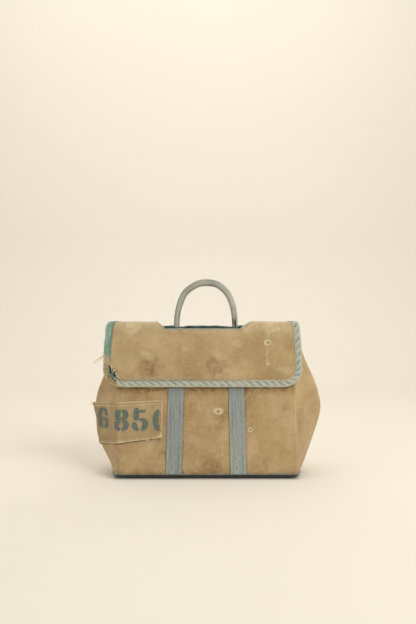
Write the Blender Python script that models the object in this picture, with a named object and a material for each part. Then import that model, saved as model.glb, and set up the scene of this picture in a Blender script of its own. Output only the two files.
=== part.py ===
"""A small flap-over canvas satchel made from mail-sack cloth, as separate sewn pieces.

Metres, +Z up. The bag stands on its base at the origin with its front facing -Y.
The flap hinges at the rear fold and again at the front fold, and the webbing handle
bends at its roots and flops forward.
"""

import math

import bmesh
import bpy
from mathutils import Matrix, Vector

MM = 0.001

# Driving dimensions of the body.
BASE_DEPTH = 140 * MM
MOUTH_DEPTH = 40.4 * MM
BAG_HEIGHT = 284 * MM
FRONT_DROP = 2 * MM
BASE_HALF_WIDTH = 173 * MM
MOUTH_HALF_WIDTH = 170 * MM
SEAM_FLANGE = 10 * MM
RIDGE_LOW_OUT = 3 * MM
RIDGE_KNEE_OUT = 28 * MM
RIDGE_WIDE_OUT = 52 * MM
RIDGE_WAIST_OUT = 25 * MM
RIDGE_TOP_OUT = 8 * MM
RIDGE_KNEE_HEIGHT = 45 * MM
RIDGE_WIDE_HEIGHT = 132 * MM
RIDGE_WAIST_HEIGHT = 235 * MM

# Cloth thicknesses and clearances.
CANVAS = 1.6 * MM
WEBBING = 1.5 * MM
TAPE = 0.8 * MM
HEM = 1.2 * MM
GAP = 0.3 * MM
EDGE_GAP = 0.6 * MM

# Base seam.
PIPING_WIDTH = 3.2 * MM
PIPING_HEIGHT = 3 * MM
PIPING_LIFT = 0.2 * MM

# Straps.
STRAP_WIDTH = 30 * MM
STRAP_LOW_X = 61 * MM
STRAP_TAIL_WIDTH = 13 * MM

# Handle.
HANDLE_Y = -12 * MM
HANDLE_RADIUS = 6.2 * MM
HANDLE_HALF_SPAN = 57 * MM
HANDLE_RISE = 81 * MM
ARCH_LIFT = 6 * MM
LEAN_LIFT = 14 * MM
NECK_LENGTH = 12 * MM
HANDLE_SIDES = 12
HANDLE_STEPS = 24
CAP_STEPS = 3

# Flap.
FLAP_CROWN = 11 * MM
FRONT_FOLD_LIFT = 4 * MM
REAR_FOLD_LIFT = 2 * MM
FLAP_DROP = 117 * MM
FLAP_SHIFT_X = -4 * MM
FLAP_TOP_OVERHANG = 15 * MM
FLAP_LOW_OVERHANG = 20.5 * MM
FLAP_CORNER = 38 * MM
FOLD_RADIUS = 6 * MM
TAIL_DROP = 31 * MM
BINDING_WIDTH = 13.4 * MM
SLOT_CLEARANCE = 23 * MM
SLOT_SLANT = 12 * MM
SLOT_DROP = 6.5 * MM
SLOT_CORNER = 4 * MM
SLOT_FACING = 6 * MM
CORNER_STEPS = 6

# Mouth hems.
HEM_DEPTH = 20 * MM
HEM_SIDE_GAP = 2 * MM

# Patch and darns.
PATCH_STRAP_GAP = 7 * MM
PATCH_BELOW = 62 * MM
PATCH_ABOVE = 12 * MM
PATCH_RIDGE_GAP = 2 * MM
PATCH_CLEAR = 0.8 * MM
DARN_THICKNESS = 0.9 * MM
DARN_SIDES = 20
DARN_STRAP_GAP = 2.4 * MM

# Values that follow from the ones above.
LEAN = math.atan2((BASE_DEPTH - MOUTH_DEPTH) / 2, BAG_HEIGHT)
SEAM_Z = PIPING_LIFT + PIPING_HEIGHT + GAP
STRAP_OUTER = GAP + WEBBING
STRAP_EDGE_X = STRAP_LOW_X + STRAP_WIDTH / 2
FLAP_TOP_Z = BAG_HEIGHT + FLAP_CROWN
FRONT_FOLD_Z = BAG_HEIGHT + FRONT_FOLD_LIFT
REAR_FOLD_Z = BAG_HEIGHT + REAR_FOLD_LIFT
FLAP_LOW_Z = FRONT_FOLD_Z - FLAP_DROP
FLAP_TOP_HALF = MOUTH_HALF_WIDTH + FLAP_TOP_OVERHANG
FLAP_LOW_HALF = MOUTH_HALF_WIDTH + FLAP_LOW_OVERHANG
FLAP_INNER = STRAP_OUTER + GAP + TAPE + GAP
FLAP_OUTER = FLAP_INNER + CANVAS
BINDING_GROWTH = GAP + TAPE
BINDING_OUTER = FLAP_OUTER + BINDING_GROWTH
TAIL_OUTER = GAP + CANVAS
SLOT_HALF = HANDLE_HALF_SPAN + SLOT_CLEARANCE
SLOT_FOLD_HALF = SLOT_HALF + SLOT_SLANT
HANDLE_BASE_Z = BAG_HEIGHT + ARCH_LIFT
LEAN_Z = BAG_HEIGHT + LEAN_LIFT
SWING_Z = LEAN_Z + NECK_LENGTH
HANDLE_FOOT_X = HANDLE_HALF_SPAN * math.sqrt(1 - ((SWING_Z - HANDLE_BASE_Z) / HANDLE_RISE) ** 2)
NECK_TOP_Z = SWING_Z - HANDLE_RADIUS - GAP
TAIL_TOP_Z = LEAN_Z - HANDLE_RADIUS - GAP
PATCH_INNER_X = -STRAP_EDGE_X - PATCH_STRAP_GAP
PATCH_LOW_Z = RIDGE_WIDE_HEIGHT - PATCH_BELOW
PATCH_TOP_Z = RIDGE_WIDE_HEIGHT + PATCH_ABOVE
RING_RADIUS = 5.2 * MM
RING_X = STRAP_EDGE_X + DARN_STRAP_GAP + RING_RADIUS

# Each darn's place across and up the panel, with its half width and half height.
DARNS = {
    "darn_front_upper": (22.8 * MM, 124.6 * MM, 11.2 * MM, 7.5 * MM),
    "darn_front_ring": (RING_X, 90.6 * MM, RING_RADIUS, RING_RADIUS),
    "darn_flap": (118.7 * MM, FRONT_FOLD_Z - 34 * MM, 7.9 * MM, 7.4 * MM),
}

# Colours, roughness and metallic values.
CANVAS_LOOK = ((0.47, 0.33, 0.16), 0.9)
STRAP_LOOK = ((0.27, 0.29, 0.25), 0.85)
HANDLE_LOOK = ((0.33, 0.34, 0.28), 0.85)
BINDING_LOOK = ((0.40, 0.38, 0.28), 0.85)
PIPING_LOOK = ((0.22, 0.28, 0.24), 0.85)
TEAL_LOOK = ((0.03, 0.07, 0.055), 0.9)
FACING_LOOK = ((0.42, 0.45, 0.43), 0.85)
DARN_LOOK = ((0.68, 0.56, 0.38), 0.9)


# Shared geometry of the body.


def mix(low, high, share):
    """The value a given share of the way from low to high."""
    return low + (high - low) * share


def front_y(z, out=0.0):
    """Y of the front panel's outer face at a height, moved outwards by a distance."""
    return -BASE_DEPTH / 2 + z * math.tan(LEAN) - out / math.cos(LEAN)


def along_slope(z, out=0.0):
    """Distance up the leaning panel to the point at a height and a distance out."""
    return (z - out * math.sin(LEAN)) / math.cos(LEAN)


def panel_half_width(z):
    """Half the width of the front and rear panels at a height."""
    return mix(BASE_HALF_WIDTH, MOUTH_HALF_WIDTH, z / BAG_HEIGHT)


def ridge_levels():
    """Heights of the gusset's sections with how far its ridge stands out at each."""
    return [
        (SEAM_Z, RIDGE_LOW_OUT),
        (RIDGE_KNEE_HEIGHT, RIDGE_KNEE_OUT),
        (RIDGE_WIDE_HEIGHT, RIDGE_WIDE_OUT),
        (RIDGE_WAIST_HEIGHT, RIDGE_WAIST_OUT),
        (BAG_HEIGHT, RIDGE_TOP_OUT),
    ]


def ridge_x(z):
    """Distance of the gusset's ridge from the middle of the bag at a height."""
    levels = ridge_levels()
    for (low, out_low), (high, out_high) in zip(levels, levels[1:]):
        if z <= high:
            return panel_half_width(z) + mix(out_low, out_high, (z - low) / (high - low))
    return panel_half_width(z) + RIDGE_TOP_OUT


def rounded(points, radii, steps=CORNER_STEPS):
    """An open path with an arc of the given radius at each inner corner."""
    path = [Vector(points[0])]
    for before, corner, after, radius in zip(points, points[1:], points[2:], radii):
        corner = Vector(corner)
        back = (Vector(before) - corner).normalized()
        ahead = (Vector(after) - corner).normalized()
        half = back.angle(ahead) / 2
        centre = corner + (back + ahead).normalized() * (radius / math.sin(half))
        start = corner + back * (radius / math.tan(half)) - centre
        end = corner + ahead * (radius / math.tan(half)) - centre
        sweep = start.angle_signed(end)
        for step in range(steps + 1):
            turn = Matrix.Rotation(-sweep * step / steps, 2)
            path.append(centre + turn @ start)
    path.append(Vector(points[-1]))
    return path


def offset(path, distance):
    """An open path moved sideways, to the left of its direction."""
    moved = []
    for index, point in enumerate(path):
        before = path[max(index - 1, 0)]
        after = path[min(index + 1, len(path) - 1)]
        inward = (point - before).normalized() if index else (after - point).normalized()
        outward = (after - point).normalized() if after != point else inward
        bisector = (inward + outward).normalized()
        normal = Vector((-bisector.y, bisector.x))
        moved.append(point + normal * (distance / max(bisector.dot(inward), 0.5)))
    return moved


# Making objects.


def clear_scene():
    """Remove everything that the scene starts with."""
    for item in list(bpy.data.objects):
        bpy.data.objects.remove(item, do_unlink=True)


def make_material(name, look):
    """A cloth material of its own for one node."""
    colour, roughness = look
    surface = bpy.data.materials.new(name)
    surface.use_nodes = True
    shader = surface.node_tree.nodes["Principled BSDF"]
    shader.inputs["Base Color"].default_value = (*colour, 1)
    shader.inputs["Roughness"].default_value = roughness
    shader.inputs["Metallic"].default_value = 0
    return surface


def add_mesh(name, shape, look, parent):
    """Put a mesh under its parent as a named object, keeping its face directions."""
    mesh = bpy.data.meshes.new(name)
    shape.to_mesh(mesh)
    shape.free()
    node = bpy.data.objects.new(name, mesh)
    bpy.context.collection.objects.link(node)
    node.parent = parent
    if look:
        mesh.materials.append(make_material(name, look))
    return node


def add_solid(name, shape, look, parent):
    """Put a closed mesh under its parent, with its faces turned outwards."""
    bmesh.ops.recalc_face_normals(shape, faces=shape.faces)
    return add_mesh(name, shape, look, parent)


def add_empty(name, location, rotation=(0, 0, 0), parent=None):
    """A frame that other pieces hang from."""
    empty = bpy.data.objects.new(name, None)
    bpy.context.collection.objects.link(empty)
    empty.location = location
    empty.rotation_euler = rotation
    empty.parent = parent
    return empty


def prism(outline, low, high):
    """A flat outline in X and Y made solid between two levels in Z."""
    shape = bmesh.new()
    face = shape.faces.new([shape.verts.new((x, y, low)) for x, y in outline])
    grown = bmesh.ops.extrude_face_region(shape, geom=[face])["geom"]
    raised = [item for item in grown if isinstance(item, bmesh.types.BMVert)]
    bmesh.ops.translate(shape, verts=raised, vec=(0, 0, high - low))
    return shape


def block(low, high):
    """A box between two corners."""
    corners = [(low[0], low[1]), (high[0], low[1]), (high[0], high[1]), (low[0], high[1])]
    return prism(corners, low[2], high[2])


def sheet(rows):
    """A surface through rows of points, its face turned to columns cross rows."""
    shape = bmesh.new()
    across = len(rows[0]) - 1
    along = len(rows) - 1
    bmesh.ops.create_grid(shape, x_segments=across, y_segments=along, size=1)
    for vert in shape.verts:
        column = round((vert.co.x + 1) / 2 * across)
        row = round((vert.co.y + 1) / 2 * along)
        vert.co = rows[row][column]
    return shape


def add_sheet(name, rows, thickness, look, parent):
    """A sheet whose thickness lies behind the surface through the rows."""
    node = add_mesh(name, sheet(rows), look, parent)
    solid = node.modifiers.new("thickness", "SOLIDIFY")
    solid.thickness = thickness
    solid.offset = -1
    solid.use_even_offset = True
    solid.use_quality_normals = True
    return node


def cut(node, cutter):
    """Take the cutter out of a node."""
    cutter.hide_render = True
    cutter.display_type = "WIRE"
    boolean = node.modifiers.new("cut", "BOOLEAN")
    boolean.operation = "DIFFERENCE"
    boolean.solver = "EXACT"
    boolean.object = cutter


# The body.


def panel_outline(low_z, high_z, half_width_at):
    """A panel's outline in its own leaning plane."""
    low = half_width_at(low_z)
    high = half_width_at(high_z)
    bottom = along_slope(low_z)
    top = along_slope(high_z)
    return [(-low, bottom), (low, bottom), (high, top), (-high, top)]


def make_panels(front, rear):
    """The front and rear canvas panels."""
    for name, top, side in (
        ("front_panel", BAG_HEIGHT - FRONT_DROP, front),
        ("rear_panel", BAG_HEIGHT, rear),
    ):
        bottom = SEAM_Z + CANVAS * math.sin(LEAN)
        outline = panel_outline(bottom, top, panel_half_width)
        add_solid(name, prism(outline, -CANVAS, 0), CANVAS_LOOK, side)


def gusset_row(z, side):
    """The gusset's section at a height, from its front flange to its rear flange."""
    corner = panel_half_width(z) + EDGE_GAP
    seam_y = front_y(z, -CANVAS - GAP)
    flange = corner - SEAM_FLANGE
    ridge = ridge_x(z)
    section = [(flange, seam_y), (corner, seam_y), (ridge, 0), (corner, -seam_y), (flange, -seam_y)]
    return [(side * x, side * y, z) for x, y in section]


def make_gussets(bag):
    """The two folded side gussets."""
    for name, side in (("left_gusset", -1), ("right_gusset", 1)):
        rows = [gusset_row(z, side) for z, _ in ridge_levels()]
        add_sheet(name, rows, CANVAS, CANVAS_LOOK, bag)


def make_base(bag):
    """The base panel with the piping along its four seams."""
    half_depth = (BASE_DEPTH - PIPING_WIDTH) / 2 - GAP
    half_width = BASE_HALF_WIDTH - GAP
    base = block((-half_width, -half_depth, 0), (half_width, half_depth, CANVAS))
    add_solid("base_panel", base, CANVAS_LOOK, bag)
    top = PIPING_LIFT + PIPING_HEIGHT
    for name, side in (("base_binding_front", -1), ("base_binding_rear", 1)):
        middle = side * BASE_DEPTH / 2
        low = (-BASE_HALF_WIDTH, middle - PIPING_WIDTH / 2, PIPING_LIFT)
        high = (BASE_HALF_WIDTH, middle + PIPING_WIDTH / 2, top)
        add_solid(name, block(low, high), PIPING_LOOK, bag)
    for name, side in (("base_binding_left", -1), ("base_binding_right", 1)):
        middle = side * (BASE_HALF_WIDTH + PIPING_WIDTH / 2)
        low = (middle - PIPING_WIDTH / 2, -half_depth, PIPING_LIFT)
        high = (middle + PIPING_WIDTH / 2, half_depth, top)
        add_solid(name, block(low, high), PIPING_LOOK, bag)


def strap_row(middle, width, y, z):
    """One row of a strap, from left to right."""
    return [(middle - width / 2, y, z), (middle + width / 2, y, z)]


def make_front_straps(bag):
    """The front straps, which narrow above the mouth into the handle's roots."""
    bend_z = BAG_HEIGHT
    root_y = HANDLE_Y - STRAP_TAIL_WIDTH / 5
    bend_y = front_y(bend_z, STRAP_OUTER)
    for name, side in (("front_strap_left", -1), ("front_strap_right", 1)):
        low_x = side * STRAP_LOW_X
        top_x = side * HANDLE_FOOT_X
        mid_width = mix(STRAP_WIDTH, STRAP_TAIL_WIDTH, 0.5)
        mid_y = mix(bend_y, root_y, 0.35)
        mid_z = mix(bend_z, TAIL_TOP_Z, 0.65)
        rows = [
            strap_row(low_x, STRAP_WIDTH, front_y(SEAM_Z, STRAP_OUTER), SEAM_Z),
            strap_row(top_x, STRAP_WIDTH, bend_y, bend_z),
            strap_row(top_x, mid_width, mid_y, mid_z),
            strap_row(top_x, STRAP_TAIL_WIDTH, root_y, TAIL_TOP_Z),
        ]
        add_sheet(name, rows, WEBBING, STRAP_LOOK, bag)


def make_rear_straps(rear):
    """The rear straps, which end under the flap's tail."""
    bottom = along_slope(SEAM_Z)
    top = along_slope(REAR_FOLD_Z - TAIL_DROP - EDGE_GAP, STRAP_OUTER)
    for name, side in (("rear_strap_left", 1), ("rear_strap_right", -1)):
        low_x = side * STRAP_LOW_X
        top_x = side * HANDLE_FOOT_X
        half = STRAP_WIDTH / 2
        outline = [
            (low_x - half, bottom),
            (low_x + half, bottom),
            (top_x + half, top),
            (top_x - half, top),
        ]
        add_solid(name, prism(outline, GAP, STRAP_OUTER), STRAP_LOOK, rear)


def make_mouth_hems(front, rear):
    """The dark hems inside the front and rear edges of the mouth."""
    half = MOUTH_HALF_WIDTH - SEAM_FLANGE - HEM_SIDE_GAP
    back = -CANVAS - GAP
    for name, top_z, side in (
        ("mouth_hem_front", BAG_HEIGHT - FRONT_DROP, front),
        ("mouth_hem_rear", BAG_HEIGHT, rear),
    ):
        top = along_slope(top_z)
        outline = [(-half, top - HEM_DEPTH), (half, top - HEM_DEPTH), (half, top), (-half, top)]
        add_solid(name, prism(outline, back - HEM, back), TEAL_LOOK, side)


def patch_row(z):
    """The patch's section at a height, from the gusset's ridge to its inner edge."""
    out = GAP + CANVAS
    corner_x = -panel_half_width(z) - CANVAS
    ridge = -ridge_x(z) - PATCH_CLEAR - CANVAS
    ridge_y = -PATCH_RIDGE_GAP - CANVAS
    return [(ridge, ridge_y, z), (corner_x, front_y(z, out), z), (PATCH_INNER_X, front_y(z, out), z)]


def make_patch(bag):
    """The number patch, which folds round the left seam onto the gusset."""
    rows = [patch_row(z) for z in (PATCH_LOW_Z, RIDGE_WIDE_HEIGHT, PATCH_TOP_Z)]
    add_sheet("number_patch", rows, CANVAS, CANVAS_LOOK, bag)


def darn_outline(x, along, half_width, half_height):
    """A darn's oval outline in its leaning plane."""
    turns = [2 * math.pi * side / DARN_SIDES for side in range(DARN_SIDES)]
    return [(x + half_width * math.cos(turn), along + half_height * math.sin(turn)) for turn in turns]


def make_darn(name, plane, level):
    """One raised darn on a panel's face."""
    x, z, half_width, half_height = DARNS[name]
    outline = darn_outline(x, along_slope(z, level), half_width, half_height)
    add_solid(name, prism(outline, level + GAP, level + GAP + DARN_THICKNESS), DARN_LOOK, plane)


# The flap.


def flap_side_path(growth):
    """The flap's bound edge, from the top left round the bottom to the top right."""
    top = along_slope(FRONT_FOLD_Z - EDGE_GAP, FLAP_OUTER)
    low = along_slope(FLAP_LOW_Z, FLAP_OUTER) - growth
    top_half = FLAP_TOP_HALF + growth
    low_half = FLAP_LOW_HALF + growth
    corners = [
        (FLAP_SHIFT_X - top_half, top),
        (FLAP_SHIFT_X - low_half, low),
        (FLAP_SHIFT_X + low_half, low),
        (FLAP_SHIFT_X + top_half, top),
    ]
    radius = FLAP_CORNER + growth
    return rounded(corners, (radius, radius))


def slot_path(growth):
    """The notch for the handle in the flap's top edge, from right to left."""
    top = along_slope(FRONT_FOLD_Z - EDGE_GAP, FLAP_OUTER)
    floor = along_slope(FRONT_FOLD_Z - SLOT_DROP, FLAP_OUTER) + growth
    corners = [
        (SLOT_FOLD_HALF - growth, top),
        (SLOT_HALF - growth, floor),
        (growth - SLOT_HALF, floor),
        (growth - SLOT_FOLD_HALF, top),
    ]
    radius = min(SLOT_CORNER, (top - floor) / 2)
    return rounded(corners, (radius, radius))


def flap_outline(growth):
    """The whole outline of the flap's front panel."""
    return flap_side_path(growth) + slot_path(growth)


def make_flap_cutter(name, plane):
    """The flap's front panel grown by the gap, to open its edge tapes."""
    shape = prism(flap_outline(GAP), FLAP_INNER - GAP, FLAP_OUTER + GAP)
    return add_solid(name, shape, None, plane)


def make_flap_front(plane):
    """The flap's front panel with its edge binding and the slot's facing."""
    panel = prism(flap_outline(0), FLAP_INNER, FLAP_OUTER)
    add_solid("flap_front_panel", panel, CANVAS_LOOK, plane)
    low = FLAP_INNER - BINDING_GROWTH
    outer = flap_side_path(BINDING_GROWTH)
    inner = flap_side_path(BINDING_GROWTH - BINDING_WIDTH)
    band = prism(outer + inner[::-1], low, BINDING_OUTER)
    binding = add_solid("flap_front_binding", band, BINDING_LOOK, plane)
    cut(binding, make_flap_cutter("binding_cutter", plane))
    floor = along_slope(FRONT_FOLD_Z - SLOT_DROP, FLAP_OUTER)
    half = SLOT_HALF - SLOT_CORNER
    strip = block((-half, floor - SLOT_FACING, low), (half, floor + BINDING_GROWTH, BINDING_OUTER))
    facing = add_solid("slot_facing_front", strip, FACING_LOOK, plane)
    cut(facing, make_flap_cutter("facing_cutter", plane))
    make_darn("darn_flap", plane, FLAP_OUTER)


def flap_top_path(growth, reach=0.0):
    """The top strip's outer section from the front fold over to the rear fold."""
    front_low = FRONT_FOLD_Z + EDGE_GAP - reach
    rear_low = REAR_FOLD_Z + EDGE_GAP - reach
    corners = [
        (front_y(front_low, FLAP_OUTER), front_low),
        (front_y(FLAP_TOP_Z, FLAP_OUTER), FLAP_TOP_Z),
        (-front_y(FLAP_TOP_Z, TAIL_OUTER), FLAP_TOP_Z),
        (-front_y(rear_low, TAIL_OUTER), rear_low),
    ]
    return offset(rounded(corners, (FOLD_RADIUS, FOLD_RADIUS)), growth)


def strip_rows(first_x, second_x, path):
    """Rows of a piece of the top strip between two X positions."""
    left, right = sorted((first_x, second_x))
    return [[(left, y, z), (right, y, z)] for y, z in path]


def make_flap_top(flap):
    """The two halves of the top strip beside the slot, with their edge bindings."""
    for side_name, side in (("left", -1), ("right", 1)):
        edge = FLAP_SHIFT_X + side * FLAP_TOP_HALF
        rows = strip_rows(edge, side * (SLOT_FOLD_HALF + EDGE_GAP), flap_top_path(0))
        add_sheet(f"flap_top_{side_name}", rows, CANVAS, CANVAS_LOOK, flap)
        outer_edge = edge + side * BINDING_GROWTH
        inner_edge = outer_edge - side * BINDING_WIDTH
        rows = strip_rows(outer_edge, inner_edge, flap_top_path(BINDING_GROWTH))
        name = f"flap_top_binding_{side_name}"
        binding = add_sheet(name, rows, CANVAS + 2 * BINDING_GROWTH, BINDING_LOOK, flap)
        past_inner = inner_edge - side * BINDING_WIDTH
        rows = strip_rows(edge + side * GAP, past_inner, flap_top_path(GAP, BINDING_WIDTH))
        cut(binding, add_sheet(f"{name}_cutter", rows, CANVAS + 2 * GAP, None, flap))


def make_flap_tail(rear):
    """The flap's tail, sewn on the outside of the rear panel."""
    top = along_slope(REAR_FOLD_Z - EDGE_GAP, TAIL_OUTER)
    bottom = along_slope(REAR_FOLD_Z - TAIL_DROP, TAIL_OUTER)
    left = -FLAP_SHIFT_X - FLAP_TOP_HALF
    right = -FLAP_SHIFT_X + FLAP_TOP_HALF
    outline = [(left, bottom), (right, bottom), (right, top), (left, top)]
    add_solid("flap_tail", prism(outline, GAP, TAIL_OUTER), CANVAS_LOOK, rear)


# The handle.


def ring_edges(verts):
    """The edges of a newly made circle."""
    return list({edge for vert in verts for edge in vert.link_edges})


def tube(rings):
    """A closed tube through rings, each given as a centre, a direction and a radius."""
    shape = bmesh.new()
    loops = []
    for centre, direction, radius in rings:
        turn = direction.to_track_quat("Z", "Y").to_matrix().to_4x4()
        place = Matrix.Translation(centre) @ turn
        made = bmesh.ops.create_circle(shape, segments=HANDLE_SIDES, radius=radius, matrix=place)
        loops.append(ring_edges(made["verts"]))
    for lower, upper in zip(loops, loops[1:]):
        bmesh.ops.bridge_loops(shape, edges=lower + upper)
    for end in (loops[0], loops[-1]):
        bmesh.ops.contextual_create(shape, geom=end)
    return shape


def ball_end(centre, direction, start, end):
    """Rings of a ball end between two turns, measured from the ball's middle."""
    rings = []
    for step in range(CAP_STEPS + 1):
        turn = mix(start, end, step / CAP_STEPS)
        along = direction * (HANDLE_RADIUS * math.sin(turn))
        rings.append((centre + along, direction, HANDLE_RADIUS * math.cos(turn)))
    return rings


def make_necks(necks):
    """The short root of each handle leg, rounded where it bends at the mouth."""
    up = Vector((0, 0, 1))
    steepest = math.radians(80)
    for name, side in (("handle_neck_left", -1), ("handle_neck_right", 1)):
        middle = Vector((side * HANDLE_FOOT_X, 0, 0))
        rings = ball_end(middle, up, -steepest, 0)
        rings.append((middle + up * (NECK_TOP_Z - LEAN_Z), up, HANDLE_RADIUS))
        node = add_solid(name, tube(rings), HANDLE_LOOK, necks)
        smooth(node)


def make_grip(grip):
    """The arched webbing grip, with rounded ends where it swings on the necks."""
    foot = math.asin((SWING_Z - HANDLE_BASE_Z) / HANDLE_RISE)
    drop = Vector((0, 0, HANDLE_BASE_Z - SWING_Z))
    steepest = math.radians(80)
    arch = []
    for step in range(HANDLE_STEPS + 1):
        turn = mix(math.pi - foot, foot, step / HANDLE_STEPS)
        place = Vector((HANDLE_HALF_SPAN * math.cos(turn), 0, HANDLE_RISE * math.sin(turn)))
        along = Vector((HANDLE_HALF_SPAN * math.sin(turn), 0, -HANDLE_RISE * math.cos(turn)))
        arch.append((place + drop, along.normalized(), HANDLE_RADIUS))
    up = Vector((0, 0, 1))
    rings = ball_end(arch[0][0], up, -steepest, 0)[:-1]
    rings += arch
    rings += ball_end(arch[-1][0], -up, 0, steepest)[1:]
    smooth(add_solid("handle_grip", tube(rings), HANDLE_LOOK, grip))


def smooth(node):
    """Shade a round piece smooth, with its ends left sharp."""
    node.data.shade_smooth()
    node.data.set_sharp_from_angle(angle=math.radians(50))


def main():
    """Build the whole satchel."""
    clear_scene()
    bag = add_empty("bag", (0, 0, 0))
    upright = math.pi / 2 - LEAN
    front = add_empty("front_plane", (0, -BASE_DEPTH / 2, 0), (upright, 0, 0), bag)
    rear = add_empty("rear_plane", (0, BASE_DEPTH / 2, 0), (upright, 0, math.pi), bag)
    make_panels(front, rear)
    make_gussets(bag)
    make_base(bag)
    make_front_straps(bag)
    make_rear_straps(rear)
    make_mouth_hems(front, rear)
    make_patch(bag)
    make_darn("darn_front_upper", front, 0)
    make_darn("darn_front_ring", front, 0)
    make_flap_tail(rear)

    rear_fold = Vector((0, -front_y(REAR_FOLD_Z, TAIL_OUTER + BINDING_GROWTH), REAR_FOLD_Z))
    front_fold = Vector((0, front_y(FRONT_FOLD_Z, BINDING_OUTER), FRONT_FOLD_Z))
    flap = add_empty("flap_top", rear_fold, parent=bag)
    flap_frame = add_empty("flap_top_frame", -rear_fold, parent=flap)
    flap_front = add_empty("flap_front", front_fold - rear_fold, parent=flap)
    front_plane = Vector((0, -BASE_DEPTH / 2, 0)) - front_fold
    flap_plane = add_empty("flap_front_plane", front_plane, (upright, 0, 0), flap_front)
    make_flap_top(flap_frame)
    make_flap_front(flap_plane)

    necks = add_empty("handle_neck", (0, HANDLE_Y, LEAN_Z), parent=bag)
    grip = add_empty("handle_swing", (0, 0, SWING_Z - LEAN_Z), parent=necks)
    make_necks(necks)
    make_grip(grip)


main()
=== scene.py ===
"""A flap-over canvas satchel sewn from old mail-sack cloth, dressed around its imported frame.

Each sub-assembly is a class that lofts its cloth over the shape of the standing bag,
cuts it to size, thickens it and gives it its finish. Metres throughout, +Z up, front to -Y.
"""

import logging
import math
import random
from collections.abc import Callable, Iterable, Sequence
from dataclasses import dataclass, field
from enum import Enum

import bmesh
import bpy
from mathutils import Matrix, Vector, noise


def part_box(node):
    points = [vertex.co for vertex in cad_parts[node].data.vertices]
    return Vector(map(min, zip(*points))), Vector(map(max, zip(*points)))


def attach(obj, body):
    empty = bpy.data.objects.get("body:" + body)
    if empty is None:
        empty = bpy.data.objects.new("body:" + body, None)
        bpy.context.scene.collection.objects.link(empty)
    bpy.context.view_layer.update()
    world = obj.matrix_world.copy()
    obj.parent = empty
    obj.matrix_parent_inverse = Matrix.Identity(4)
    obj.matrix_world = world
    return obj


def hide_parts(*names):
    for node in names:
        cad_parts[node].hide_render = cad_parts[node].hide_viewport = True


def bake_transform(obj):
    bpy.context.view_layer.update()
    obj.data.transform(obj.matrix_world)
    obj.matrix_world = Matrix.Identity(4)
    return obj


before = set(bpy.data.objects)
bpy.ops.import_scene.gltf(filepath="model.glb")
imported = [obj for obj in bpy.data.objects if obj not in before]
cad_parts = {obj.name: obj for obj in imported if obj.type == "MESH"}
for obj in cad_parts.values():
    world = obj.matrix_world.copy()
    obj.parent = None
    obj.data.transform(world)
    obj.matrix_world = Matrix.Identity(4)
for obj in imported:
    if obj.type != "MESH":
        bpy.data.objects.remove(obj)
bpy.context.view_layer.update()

MM = 0.001
LOG = logging.getLogger("satchel")

# Cloth reflects about half of what a hard surface does, and its loose fibres spread the rest.
CLOTH_SPECULAR = 0.25
SHEEN_ROUGHNESS = 0.6
GRAIN_ROUGHNESS = 0.55

Place = Callable[[float, float], Vector]
Paint = Callable[[float, float], float]
Measure = Callable[[float, float], tuple[float, float]]


# Numbers and curves.


def mix(low: float, high: float, share: float) -> float:
    """Give the value a share of the way from low to high."""
    return low + (high - low) * share


def clamp(value: float, low: float = 0.0, high: float = 1.0) -> float:
    """Hold a value between two limits."""
    return max(low, min(high, value))


def ease(start: float, end: float, value: float) -> float:
    """Rise smoothly from 0 at start to 1 at end.

    Args:
        start: The value where the rise begins; it may be above end.
        end: The value where the rise is complete.
        value: Where to read the rise.

    Returns:
        A share from 0 to 1.
    """
    share = clamp((value - start) / (end - start))
    return share * share * (3 - 2 * share)


def ripple(across: float, along: float, size: float, seed: float) -> float:
    """Read gentle cloth ripples at a spot.

    Args:
        across: Distance across the cloth, in metres.
        along: Distance along the cloth, in metres.
        size: The rough width of one ripple, in metres.
        seed: Picks one pattern of ripples.

    Returns:
        A height from about -1 to 1.
    """
    return noise.noise(Vector((across / size, along / size, seed)))


def through(knots: Sequence[tuple[float, float]], value: float) -> float:
    """Read a smooth curve that passes through its knots.

    Args:
        knots: Pairs of position and height, in rising order of position.
        value: The position to read.

    Returns:
        The curve's height there, held level past both ends.
    """
    if value <= knots[0][0]:
        return knots[0][1]
    for index in range(len(knots) - 1):
        low, high = knots[index], knots[index + 1]
        if value <= high[0]:
            before = knots[max(index - 1, 0)]
            after = knots[min(index + 2, len(knots) - 1)]
            span = high[0] - low[0]
            rise_low = (high[1] - before[1]) / (high[0] - before[0]) * span
            rise_high = (after[1] - low[1]) / (after[0] - low[0]) * span
            t = (value - low[0]) / span
            hold = (2 * t**3 - 3 * t**2 + 1) * low[1] + (3 * t**2 - 2 * t**3) * high[1]
            return hold + (t**3 - 2 * t**2 + t) * rise_low + (t**3 - t**2) * rise_high
    return knots[-1][1]


# Colours and shader nodes.


def linear(code: str) -> tuple[float, float, float, float]:
    """Turn an sRGB hex colour into the linear values that a shader takes."""
    channels = [int(code[i : i + 2], 16) / 255 for i in (1, 3, 5)]
    straight = [c / 12.92 if c <= 0.04045 else ((c + 0.055) / 1.055) ** 2.4 for c in channels]
    return (straight[0], straight[1], straight[2], 1.0)


def add_node(
    tree: bpy.types.NodeTree,
    kind: str,
    inputs: dict | None = None,
    output: str | int = 0,
    **settings: object,
) -> bpy.types.NodeSocket:
    """Add one shader node with its settings and links.

    Args:
        tree: The material's node tree.
        kind: The node's type name, without the ShaderNode that all of them start with.
        inputs: Values or output sockets for the node's inputs, by name or number.
        output: The output that is wanted, by name or number.
        settings: Properties of the node itself.

    Returns:
        The wanted output's socket.
    """
    node = tree.nodes.new("ShaderNode" + kind)
    for key, value in settings.items():
        setattr(node, key, value)
    for socket, value in (inputs or {}).items():
        if isinstance(value, bpy.types.NodeSocket):
            tree.links.new(value, node.inputs[socket])
        else:
            node.inputs[socket].default_value = value
    return node.outputs[output]


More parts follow.
